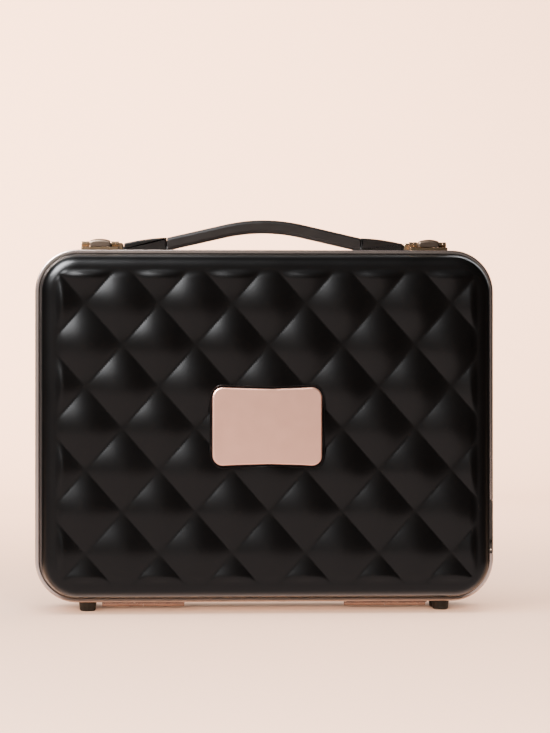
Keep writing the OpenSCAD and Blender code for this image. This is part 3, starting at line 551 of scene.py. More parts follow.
class Finish:
    """A material in the making, on object coordinates."""

    def __init__(self, name, roughness, metallic=0.0, **sockets):
        self.material = bpy.data.materials.new(name)
        self.material.use_nodes = True
        self.nodes = self.material.node_tree.nodes
        self.links = self.material.node_tree.links
        self.shader = self.nodes["Principled BSDF"]
        self.shader.inputs["Roughness"].default_value = roughness
        self.shader.inputs["Metallic"].default_value = metallic
        for key, value in sockets.items():
            self.shader.inputs[key.replace("_", " ")].default_value = value
        self.place = self.nodes.new("ShaderNodeTexCoord").outputs["Object"]
        self.normal = None

    def noise(self, scale, stretch=(1, 1, 1), detail=3.0):
        """Noise at a scale in cycles a metre, stretched by axis."""
        mapping = self.nodes.new("ShaderNodeMapping")
        mapping.inputs["Scale"].default_value = stretch
        self.links.new(self.place, mapping.inputs["Vector"])
        noise = self.nodes.new("ShaderNodeTexNoise")
        noise.inputs["Scale"].default_value = scale
        noise.inputs["Detail"].default_value = detail
        self.links.new(mapping.outputs[0], noise.inputs["Vector"])
        return noise.outputs["Fac"]

    def tones(self, base, spread, scale, low=0.3, high=0.7):
        """Colour that drifts by a share of its base, between two levels of the noise."""
        ramp = self.nodes.new("ShaderNodeValToRGB")
        ramp.color_ramp.elements[0].position = low
        ramp.color_ramp.elements[1].position = high
        ramp.color_ramp.elements[0].color = (*[c * (1 - spread) for c in base], 1)
        ramp.color_ramp.elements[1].color = (*[min(c * (1 + spread), 1) for c in base], 1)
        self.links.new(self.noise(scale), ramp.inputs["Fac"])
        self.links.new(ramp.outputs["Color"], self.shader.inputs["Base Color"])
        return self

    def gloss(self, low, high, scale, stretch=(1, 1, 1)):
        """Roughness that drifts between two values."""
        spread = self.nodes.new("ShaderNodeMapRange")
        spread.inputs["From Min"].default_value = 0.3
        spread.inputs["From Max"].default_value = 0.7
        spread.inputs["To Min"].default_value = low
        spread.inputs["To Max"].default_value = high
        self.links.new(self.noise(scale, stretch), spread.inputs["Value"])
        self.links.new(spread.outputs["Result"], self.shader.inputs["Roughness"])
        return self

    def bump(self, height, strength, depth):
        """Relief from a height, on top of what is there; the depth is in metres."""
        bump = self.nodes.new("ShaderNodeBump")
        bump.inputs["Strength"].default_value = strength
        bump.inputs["Distance"].default_value = depth
        self.links.new(height, bump.inputs["Height"])
        if self.normal:
            self.links.new(self.normal, bump.inputs["Normal"])
        self.normal = bump.outputs["Normal"]
        self.links.new(self.normal, self.shader.inputs["Normal"])
        return self

    def grain(self, scale, strength, depth, stretch=(1, 1, 1), detail=3.0):
        """Fine relief from noise."""
        return self.bump(self.noise(scale, stretch, detail), strength, depth)

    def pebbles(self, scale, strength, depth, crease=0.25):
        """Leather grain: flat cells between narrow creases, whose width is a share of a cell."""
        cells = self.nodes.new("ShaderNodeTexVoronoi")
        cells.feature = "DISTANCE_TO_EDGE"
        cells.inputs["Scale"].default_value = scale
        self.links.new(self.place, cells.inputs["Vector"])
        flat = self.nodes.new("ShaderNodeMapRange")
        flat.inputs["From Max"].default_value = crease
        self.links.new(cells.outputs["Distance"], flat.inputs["Value"])
        return self.bump(flat.outputs["Result"], strength, depth)


def kept_as(name):
    """Names a finish: it is built the first time that it is asked for, and found by its name after that."""
    def named(build):
        def finish():
            found = bpy.data.materials.get(name)
            return found if found else build(name, bpy.context.scene.case_colours)
        finish.__doc__ = build.__doc__
        return finish
    return named


@kept_as("Satin Black Quilting")
def satin_black(name, colours):
    """Moulded shells with a soft sheen."""
    coat = Finish(name, roughness=0.31, IOR=1.5, Specular_IOR_Level=0.17)
    coat.tones(colours.shell, spread=0.10, scale=35).gloss(0.29, 0.34, scale=22)
    coat.grain(scale=5200, strength=0.10, depth=0.03 * MM)
    return coat.material


@kept_as("Champagne Anodised Frame")
def champagne(name, colours):
    """Aluminium brushed along the frames, so its lines are drawn out along them and fine in depth."""
    metal = Finish(name, roughness=0.3, metallic=1.0)
    metal.tones(colours.frame, spread=0.06, scale=14).gloss(0.24, 0.34, scale=3, stretch=(1, 900, 1))
    metal.grain(scale=3, strength=0.12, depth=0.02 * MM, stretch=(1, 1400, 1))
    return metal.material


@kept_as("Satin Rose Gold Plate")
def rose_plate(name, colours):
    """Bead-blasted plate."""
    metal = Finish(name, roughness=0.4, metallic=1.0)
    metal.tones(colours.plate, spread=0.015, scale=30).gloss(0.385, 0.415, scale=90)
    metal.grain(scale=6500, strength=0.16, depth=0.03 * MM)
    return metal.material


@kept_as("Pale Brass")
def pale_brass(name, colours):
    """Plated latches, keepers, brackets and rivets."""
    metal = Finish(name, roughness=0.25, metallic=1.0)
    metal.tones(colours.latch, spread=0.05, scale=420).gloss(0.22, 0.27, scale=600)
    metal.grain(scale=2600, strength=0.08, depth=0.03 * MM)
    return metal.material


@kept_as("Satin Brass Lever")
def lever_brass(name, colours):
    """Levers brushed along their width."""
    metal = Finish(name, roughness=0.38, metallic=1.0)
    metal.tones(colours.lever, spread=0.08, scale=300).gloss(0.34, 0.44, scale=500)
    metal.grain(scale=40, strength=0.14, depth=0.02 * MM, stretch=(1, 90, 1))
    return metal.material


@kept_as("Rose Gold Hinge")
def rose_hinge(name, colours):
    """Hinges brushed along their knuckles."""
    metal = Finish(name, roughness=0.24, metallic=1.0)
    metal.tones(colours.hinge, spread=0.08, scale=160).gloss(0.18, 0.28, scale=300)
    metal.grain(scale=60, strength=0.10, depth=0.02 * MM, stretch=(1, 60, 60))
    return metal.material


@kept_as("Grained Grip")
def grip_leather(name, colours):
    """Covering of the grip, with a fine pebbled grain."""
    cover = Finish(name, roughness=0.44, IOR=1.48, Specular_IOR_Level=0.2)
    cover.tones(colours.grip, spread=0.15, scale=90).gloss(0.42, 0.52, scale=140)
    cover.pebbles(scale=1500, strength=0.22, depth=0.06 * MM)
    cover.grain(scale=4200, strength=0.10, depth=0.03 * MM)
    return cover.material


@kept_as("Moulded Handle End")
def handle_black(name, colours):
    """Moulded ends of the handle, darker than the grip."""
    mould = Finish(name, roughness=0.38, IOR=1.5, Specular_IOR_Level=0.16)
    mould.tones([c * 0.55 for c in colours.grip], spread=0.12, scale=60).gloss(0.34, 0.42, scale=80)
    mould.grain(scale=3800, strength=0.10, depth=0.03 * MM)
    return mould.material


@kept_as("Soft Rubber")
def soft_rubber(name, colours):
    """Feet, seal and button."""
    rubber = Finish(name, roughness=0.62, IOR=1.45)
    rubber.tones(colours.rubber, spread=0.18, scale=240).gloss(0.55, 0.70, scale=300)
    rubber.grain(scale=2600, strength=0.22, depth=0.05 * MM)
    return rubber.material


@kept_as("Bright Steel")
def bright_steel(name, colours):
    """Pins, screws, tongues and the socket's shell."""
    metal = Finish(name, roughness=0.22, metallic=1.0)
    metal.tones(colours.steel, spread=0.06, scale=300).gloss(0.16, 0.28, scale=500)
    metal.grain(scale=2400, strength=0.08, depth=0.02 * MM)
    return metal.material


@kept_as("Flocked Lining")
def flocked(name, colours):
    """Short dark flock with a velvet sheen."""
    flock = Finish(name, roughness=0.95, Sheen_Weight=0.6, Sheen_Roughness=0.45)
    flock.tones(colours.lining, spread=0.28, scale=420, low=0.35, high=0.65).gloss(0.88, 1.0, scale=200)
    flock.grain(scale=3600, strength=0.5, depth=0.2 * MM)
    return flock.material


@kept_as("Divider Suede")
def divider_suede(name, colours):
    """Dusty rose suede over the dividers."""
    suede = Finish(name, roughness=0.9, Sheen_Weight=0.5, Sheen_Roughness=0.4)
    suede.tones(colours.divider, spread=0.16, scale=260).gloss(0.82, 0.96, scale=180)
    suede.grain(scale=3000, strength=0.45, depth=0.2 * MM)
    return suede.material


@kept_as("Silvered Glass")
def silvered_glass(name, colours):
    """Mirror, with the faintest waves in its gloss."""
    mirror = Finish(name, roughness=0.02, metallic=1.0)
    mirror.tones(colours.mirror, spread=0.01, scale=8).gloss(0.012, 0.03, scale=14)
    return mirror.material


@kept_as("Opal Diffuser")
def opal_plastic(name, colours):
    """Milky plastic over the lamps."""
    opal = Finish(name, roughness=0.35, Subsurface_Weight=0.5, Subsurface_Scale=4 * MM)
    opal.tones(colours.opal, spread=0.02, scale=60).gloss(0.30, 0.42, scale=120)
    opal.grain(scale=3200, strength=0.06, depth=0.03 * MM)
    return opal.material


@kept_as("Lamp Strip Board")
def board_white(name, colours):
    """White board under the lamps."""
    board = Finish(name, roughness=0.45)
    board.tones(colours.strip, spread=0.04, scale=300).gloss(0.40, 0.50, scale=400)
    board.grain(scale=1800, strength=0.08, depth=0.03 * MM)
    return board.material


@kept_as("Circuit Board")
def board_green(name, colours):
    """Green lacquer, mottled by the tracks under it."""
    board = Finish(name, roughness=0.32)
    board.tones(colours.board, spread=0.35, scale=900, low=0.42, high=0.58).gloss(0.26, 0.38, scale=700)
    board.grain(scale=700, strength=0.2, depth=0.06 * MM)
    return board.material


@kept_as("Lamp Phosphor")
def lamp_yellow(name, colours):
    """Unlit lamps."""
    lamp = Finish(name, roughness=0.3, IOR=1.45)
    lamp.tones(colours.lamp, spread=0.08, scale=2000).gloss(0.25, 0.35, scale=2000)
    return lamp.material


@kept_as("Battery Wrap")
def battery_wrap(name, colours):
    """Shrink wrap with slight wrinkles."""
    wrap = Finish(name, roughness=0.3, Coat_Weight=0.5, Coat_Roughness=0.2)
    wrap.tones(colours.battery, spread=0.15, scale=50).gloss(0.24, 0.36, scale=90)
    wrap.grain(scale=260, strength=0.25, depth=0.1 * MM, detail=5.0)
    return wrap.material


@kept_as("Port Panel")
def panel_black(name, colours):
    """Moulded panel, a little duller than the shells."""
    mould = Finish(name, roughness=0.4, IOR=1.5)
    mould.tones(colours.panel, spread=0.12, scale=160).gloss(0.36, 0.46, scale=240)
    mould.grain(scale=3600, strength=0.14, depth=0.03 * MM)
    return mould.material


@kept_as("Light Pipe")
def clear_pipe(name, colours):
    """Clear end of the status light."""
    pipe = Finish(name, roughness=0.12, IOR=1.49, Transmission_Weight=0.6)
    pipe.tones(colours.pipe, spread=0.02, scale=500).gloss(0.08, 0.18, scale=900)
    return pipe.material


# Quilted shells

def field_lines(half, pitch, border, spare, start):
    """Grid lines across a field: the pattern's own on both sides of its start, then evenly to the edges."""
    before = int((half - spare + start) / pitch)
    after = int((half - spare - start) / pitch)
    own = [start + k * pitch for k in range(-before, after + 1)]
    left = [-half + k * (own[0] + half) / border for k in range(border)]
    right = [own[-1] + k * (half - own[-1]) / border for k in range(1, border + 1)]
    return left + own + right, before


def quilted_field(bm, columns, diagonal, cells):
    """Faces of the quilted field over columns of points, split along the creases; marks its vertices."""
    mark = bm.verts.layers.bool.new("field")
    grid = [[bm.verts.new(point) for point in column] for column in columns]
    for column in grid:
        for vert in column:
            vert[mark] = True
    for i in range(len(grid) - 1):
        for j in range(len(grid[0]) - 1):
            a, b, c, d = grid[i][j], grid[i + 1][j], grid[i + 1][j + 1], grid[i][j + 1]
            if (i - j - diagonal) % cells == 0:
                bm.faces.new((a, b, c))
                bm.faces.new((a, c, d))
            else:
                bm.faces.new((a, b, d))
                bm.faces.new((b, c, d))
    return grid


def walk_round(last_i, last_j):
    """Places along the edge of a grid, in order round it."""
    return ([(i, 0) for i in range(last_i)] + [(last_i, j) for j in range(last_j)]
            + [(i, last_j) for i in range(last_i, 0, -1)] + [(0, j) for j in range(last_j, 0, -1)])


def shell_profile(sizes, crown, rim):
    """Section of a shell beyond its field, as (outward, level): edge, leaning wall, rim and hollow."""
    edge, shoulder = sizes.edge, crown - sizes.relief
    reach = edge + sizes.draft
    hollow, ground, fillet = reach - sizes.wall, crown - sizes.floor, 5 * MM
    wall_start = shoulder - 2.3 * edge
    profile = [(edge * math.sin(a), shoulder - edge * (1 - math.cos(a))) for a in quarter(14)[1:]]
    profile += [(reach, wall_start), (reach, rim), (hollow, rim)]
    profile += [(hollow - fillet * (1 - math.cos(a)), ground - fillet * (1 - math.sin(a)))
                for a in quarter(5)]
    return profile


def shell_solid(name, node, side):
    """A shell whose marked field is quilted and lies within a rounded edge, a drafted wall and a hollow."""
    sizes = bpy.context.scene.case_quilt
    low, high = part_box(node)
    crown = SPLIT_Y - low.y if side == FRONT else high.y - SPLIT_Y
    field_x = high.x - sizes.draft - sizes.edge
    field_z = high.z - MIDDLE_Z - sizes.draft - sizes.edge
    radius = sizes.corner
    border, spare = 3, 2.5 * MM
    xs, count_x = field_lines(field_x, sizes.diamond_w / sizes.cells, border, spare, sizes.aside)
    zs, count_z = field_lines(field_z, sizes.diamond_h / sizes.cells, border, spare, -sizes.below)

    def over(x, z):
        """How far a point lies beyond the middles of the field's corners."""
        return max(abs(x) - field_x + radius, 0), max(abs(z) - field_z + radius, 0)

    def cornered(x, z):
        """Draws a point of the square grid in, so the field's corners turn round."""
        a, b = over(x, z)
        pull = max(a, b) / math.hypot(a, b) if a > 0 and b > 0 else 1
        return (math.copysign(abs(x) - a + a * pull, x), math.copysign(abs(z) - b + b * pull, z))

    put = facing(side)
    bm = bmesh.new()
    columns = [[put(*cornered(x, z), crown) for z in zs] for x in xs]
    grid = quilted_field(bm, columns, count_x - count_z, sizes.cells)
    walk = walk_round(len(xs) - 1, len(zs) - 1)
    rim = []
    for i, j in walk:
        p = cornered(xs[i], zs[j])
        a, b = over(*p)
        rim.append((p, Vector((math.copysign(a, p[0]), math.copysign(b, p[1]))).normalized()))
    before = [grid[i][j] for i, j in walk]
    for offset, level in shell_profile(sizes, crown, bpy.context.scene.case_frame.flange + FACE_GAP):
        ring = [bm.verts.new(put(p[0] + out[0] * offset, p[1] + out[1] * offset, level)) for p, out in rim]
        for k in range(len(ring)):
            after = (k + 1) % len(ring)
            bm.faces.new((before[k], before[after], ring[after], ring[k]))
        before = ring
    bm.faces.new(before)
    obj = loose(name, bm)
    run_tree(obj, bpy.data.node_groups.get("Quilting") or quilting_tree(), {
        "Diamond Width": sizes.diamond_w, "Diamond Height": sizes.diamond_h, "Relief": sizes.relief,
        "Fade": sizes.fade, "Field Half Width": field_x, "Field Half Height": field_z,
        "Middle Height": MIDDLE_Z, "Inward": float(-side), "Fullness": sizes.fullness,
        "Aside": sizes.aside, "Below": sizes.below, "Material": satin_black(),
    })
    return obj


def crease_depth(x, z):
    """Depth of the quilting under its crown, away from the shell's edge."""
    sizes = bpy.context.scene.case_quilt
    across, up = (x - sizes.aside) / sizes.diamond_w, (z + sizes.below) / sizes.diamond_h
    u, v = across + up, across - up
    pillow = (abs(math.sin(math.pi * u)) * abs(math.sin(math.pi * v))) ** sizes.fullness
    return sizes.relief * (1 - pillow)


def plate_outline(grow):
    """Outline of the plate with its long edges bowed in, counterclockwise."""
    sizes = bpy.context.scene.case_plate
    low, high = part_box("name_plate")
    half_w, half_h = high.x + grow, (high.z - low.z) / 2 + sizes.bow * 0.3 + grow
    r = sizes.corner + grow
    straight = half_w - r
    parts = 6
    points = []
    for sx, sz, start in ((1, 1, 0), (-1, 1, 90), (-1, -1, 180), (1, -1, 270)):
        points += arc((sx * straight, sz * (half_h - r)), r, start, start + 90, 10)
        if start in (0, 180):
            for k in range(1, 2 * parts):
                x = sx * straight * (1 - k / parts)
                bow = sizes.bow * (1 - (x / straight) ** 2)
                points.append((x, sz * (half_h - bow)))
    return points


class MAKEUPCASE_OT_quilted_shells(bpy.types.Operator):
    """Quilted front and back shells, the front one with its recess for the plate"""
    bl_idname = "makeup_case.quilted_shells"
    bl_label = "Quilted Shells"
    bl_options = {"REGISTER", "UNDO"}

    def execute(self, context):
        sizes = context.scene.case_plate
        back = shell_solid("quilted_shell_back", "base_shell", BACK)
        dress(back, satin_black(), "base", ["base_shell"], sharp=60, flat=False)
        front = shell_solid("quilted_shell_front", "lid_shell", FRONT)
        seat = SPLIT_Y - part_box("name_plate")[1].y
        crown = SPLIT_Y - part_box("lid_shell")[0].y
        above = crown + 5 * MM
        bm = bmesh.new()
        prism(bm, plate_outline(sizes.gap + sizes.lip / 2), seat, above, 0, facing(FRONT))
        cut(front, loose("recess", bm))
        dress(front, satin_black(), "lid", ["lid_shell"], sharp=60, flat=False)
        self.recess_lip(sizes, seat, crown)
        return {"FINISHED"}

    def recess_lip(self, sizes, seat, crown):
        """Rounded lip that runs round the recess and follows the quilting where that is higher."""
        inner = plate_outline(sizes.gap)
        put = facing(FRONT)
        half, root, low = sizes.lip / 2, seat - 0.5 * MM, seat + sizes.lip_height
        tops = [max(crown - crease_depth(*p), low) for p in inset(inner, -half)]
        rings = [[put(u, v, root) for u, v in inset(inner, -sizes.lip)]]
        for a in quarter(8, turn=180):
            ring = inset(inner, -half * (1 + math.cos(a)))
            rings.append([put(u, v, top - half + half * math.sin(a)) for (u, v), top in zip(ring, tops)])
        rings.append([put(u, v, root) for u, v in inner])
        bm = bmesh.new()
        loft(bm, rings, capped=False)
        piece("recess_lip", bm, satin_black(), "lid", sharp=60, flat=False)


# Frames

def frame_solid(name, depth, seal, port=None):
    """A frame: outer band with a beaded free edge, and the flange at the split."""
    sizes = bpy.context.scene.case_frame
    side = BACK if seal else FRONT
    band, bead, soft, reach = sizes.band, sizes.bead, sizes.split_round, sizes.flange_reach
    back = FACE_GAP + sizes.flange
    profile = arc((-soft, FACE_GAP + soft), soft, -90, 0, 3)
    profile += arc((-bead, depth - bead), bead, 0, 90, 6)
    profile += arc((-band + bead, depth - bead), bead, 90, 180, 6)
    profile += [(-band, back), (-reach, back), (-reach, FACE_GAP)]
    if seal:
        outer, inner, floor = sizes.seal_inset, sizes.seal_inset + sizes.seal_w, FACE_GAP + sizes.seal_t
        profile += [(-inner, FACE_GAP), (-inner, floor), (-outer, floor), (-outer, FACE_GAP)]
    bm = bmesh.new()
    sweep(bm, frame_path(HALF_W, HALF_H, sizes.corner, 28), profile, facing(side))
    obj = loose(name, bm)
    if port:
        low, high = port
        gap, past = 0.15 * MM, 2 * MM
        bm = bmesh.new()
        box_solid(bm, (low.x - gap, low.y - past, low.z - gap),
                  (high.x + past, high.y + gap, high.z + gap), 0.3 * MM)
        cut(obj, loose("port notch", bm))
    return obj


class MAKEUPCASE_OT_frames(bpy.types.Operator):
    """Front and back metal frames"""
    bl_idname = "makeup_case.frames"
    bl_label = "Frames"
    bl_options = {"REGISTER", "UNDO"}

    def execute(self, context):
        back = frame_solid("frame_back", BACK_HIGH.y - SPLIT_Y, True)
        dress(back, champagne(), "base", ["base_frame"])
        front = frame_solid("frame_front", SPLIT_Y - FRONT_LOW.y, False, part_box("port_panel"))
        dress(front, champagne(), "lid", ["lid_frame"])
        return {"FINISHED"}


class MAKEUPCASE_OT_name_plate(bpy.types.Operator):
    """Bare plate with bowed edges and a rounded rim"""
    bl_idname = "makeup_case.name_plate"
    bl_label = "Name Plate"
    bl_options = {"REGISTER", "UNDO"}

    def execute(self, context):
        edge = context.scene.case_plate.edge
        low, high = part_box("name_plate")
        seat, face = SPLIT_Y - high.y, SPLIT_Y - low.y
        outline = plate_outline(0)
        put = facing(FRONT)
        rings = [[put(u, v, seat) for u, v in outline]]
        for a in reversed(quarter(7)):
            ring = inset(outline, edge * (1 - math.sin(a)))
            rings.append([put(u, v, face - edge * (1 - math.cos(a))) for u, v in ring])
        bm = bmesh.new()
        loft(bm, rings)
        piece("name_plate_bare", bm, rose_plate(), "lid", ["name_plate"])
        return {"FINISHED"}


# Feet

class MAKEUPCASE_OT_feet(bpy.types.Operator):
    """Four turned rubber feet, each with a screw in its sole"""
    bl_idname = "makeup_case.feet"
    bl_label = "Feet"
    bl_options = {"REGISTER", "UNDO"}

    def execute(self, context):
        for half, body in (("front", "lid"), ("rear", "base")):
            for hand in ("left", "right"):
                self.foot(f"foot_{half}_{hand}", body, context.scene.case_fittings.foot_round)
        return {"FINISHED"}

    def foot(self, node, body, soft):
        """Rubber body that narrows to its tip, with a well in its sole, and the screw in the well."""
        low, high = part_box(node)
        middle = (low + high) / 2
        put = along_z(middle.x, middle.y)
        top = (high.x - low.x) / 2
        tip = top - 0.75 * MM
        well, well_depth, round_off, lead = 2.1 * MM, 1.8 * MM, 0.2 * MM, 0.3 * MM
        profile = [(round_off, well_depth), (well - round_off, well_depth), (well, well_depth - round_off),
                   (well, lead), (well + lead, 0)]
        profile += arc((tip - soft, soft), soft, -90, -8, 6)
        profile += [(top - lead / 2, high.z - 2 * lead), (top, high.z - lead), (top, high.z)]
        bm = bmesh.new()
        lathe(bm, profile, put, 56)
        piece(f"rubber_{node}", bm, soft_rubber(), body, [node])
        head = 1.7 * MM
        screw = [(head, well_depth - 0.05 * MM), (head, 1.0 * MM), (1.5 * MM, 0.8 * MM),
                 (0.7 * MM, 0.7 * MM), (0.6 * MM, 1.3 * MM)]
        bm = bmesh.new()
        lathe(bm, screw, put, 32)
        piece(f"screw_{node}", bm, bright_steel(), body)


# Hinges

class MAKEUPCASE_OT_hinges(bpy.types.Operator):
    """Two hinges under the frames: leaves and knuckles"""
    bl_idname = "makeup_case.hinges"
    bl_label = "Hinges"
    bl_options = {"REGISTER", "UNDO"}

    def execute(self, context):
        radius = context.scene.case_fittings.hinge_knuckle / 2
        for hand, inward in (("left", 1), ("right", -1)):
            self.leaf("lid", hand, FRONT, inward, radius)
            self.leaf("base", hand, BACK, -inward, radius)
        return {"FINISHED"}

    def leaf(self, body, hand, side, own, radius):
        """Leaf under its frame; its own end carries the knuckle, and the other stays clear of it."""
        pin_low, pin_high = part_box(f"hinge_pin_{hand}")
        axis_y, axis_z = (pin_low.y + pin_high.y) / 2, (pin_low.z + pin_high.z) / 2
        node = f"hinge_leaf_{body}_{hand}"
        low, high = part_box(node)
        middle = (low.x + high.x) / 2
        gap, near, clear = 0.2 * MM, 0.2 * MM, radius + 0.45 * MM
        reach = abs((low.y if side == FRONT else high.y) - SPLIT_Y)
        own_end, other_end = (low.x, high.x) if own < 0 else (high.x, low.x)
        ends = sorted((middle + own * gap, own_end))
        other = sorted((middle + own * gap, other_end))
        outline = [(ends[0], near), (ends[1], near)]
        if own < 0:
            outline += [(other[0], clear), (other[1], clear), (other[1], reach), (ends[0], reach)]
            radii = [0.3, 0.3, 0.3, 0.5, 1.5, 1.5]
        else:
            outline += [(ends[1], reach), (other[0], reach), (other[0], clear), (ends[0], clear)]
            radii = [0.3, 0.3, 1.5, 1.5, 0.5, 0.3]
        plan = rounded(outline, [r * MM for r in radii], 4)
        edge = 0.25 * MM
        bm = bmesh.new()
        prism(bm, plan, FRAME_BOTTOM - LEAF_T, FRAME_BOTTOM, edge,
              lambda u, v, t: Vector((u, SPLIT_Y + side * v, t)), 3)
        lathe(bm, rod_profile(radius, ends[0], ends[1], edge), along_x(axis_y, axis_z), 40)
        piece(f"hinge_{body}_{hand}", bm, rose_hinge(), body, [node])


# Rivets, set by a geometry node tree

# Places of the rivets, from the middle of what they hold and from the split
HINGE_RIVETS_X, HINGE_RIVETS_Y = (-22 * MM, 0, 22 * MM), 9 * MM
LATCH_RIVETS_X, LATCH_RIVETS_Y = (-11.55 * MM, 11.55 * MM), 10.5 * MM
KEEPER_RIVETS_X, KEEPER_RIVETS_Y = (-2.6 * MM, 2.6 * MM), 4.4 * MM
TAB_RIVET_IN = 4 * MM


def rivet_part():
    """A rivet's shallow domed head and its shank, pointing up from the seat, one head wide."""
    bm = bmesh.new()
    head, seat, shank, tail = 0.5, 0.184, 0.26, 0.75
    dome = [(head * math.sin(a), -0.05 + 0.07 * math.cos(a)) for a in quarter(5)]
    profile = [(shank, -tail), (shank, -seat), (head, -seat)] + list(reversed(dome))[:-1] + [(0.03, 0.02)]
    lathe(bm, profile, along_z(), 28)
    return loose("rivet", bm)


class MAKEUPCASE_OT_rivets(bpy.types.Operator):
    """Rivets that hold the hinges, latches, keepers and brackets"""
    bl_idname = "makeup_case.rivets"
    bl_label = "Rivets"
    bl_options = {"REGISTER", "UNDO"}

    def execute(self, context):
        head = context.scene.case_fittings.rivet_head
        for half, body, side in (("lid", "lid", FRONT), ("base", "base", BACK)):
            points = []
            for hand in ("left", "right"):
                points += self.row(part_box(f"hinge_leaf_{half}_{hand}"), HINGE_RIVETS_X,
                                   side * HINGE_RIVETS_Y, FRAME_BOTTOM - LEAF_T, (0, 0, -1))
                if half == "lid":
                    points += self.row(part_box(f"latch_plate_{hand}"), LATCH_RIVETS_X,
                                       side * LATCH_RIVETS_Y, FRAME_TOP + LATCH_PLATE_T, (0, 0, 1))
                else:
                    points += self.row(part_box(f"keeper_{hand}"), KEEPER_RIVETS_X,
                                       side * KEEPER_RIVETS_Y, FRAME_TOP + KEEPER_T, (0, 0, 1))
                    low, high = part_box(f"handle_bracket_{hand}")
                    x = high.x - TAB_RIVET_IN if hand == "right" else low.x + TAB_RIVET_IN
                    points.append(((x, (low.y + high.y) / 2, FRAME_TOP + TAB_T), (0, 0, 1)))
            obj = set_parts(f"rivets_{half}", rivet_part(), points, head, pale_brass())
            dress(obj, pale_brass(), body, [f"{half}_rivets"])
        return {"FINISHED"}

    def row(self, box, places, y, level, aim):
        """Rivets at places along what they hold, each as (place, direction)."""
        middle = (box[0].x + box[1].x) / 2
        return [((middle + x, SPLIT_Y + y, level), aim) for x in places]


# Latches

def latch_put(centre):
    """Outline across a latch (forward from the split, up from the frames), level along its width."""
    return lambda u, v, t: Vector((centre + t, SPLIT_Y - u, FRAME_TOP + v))


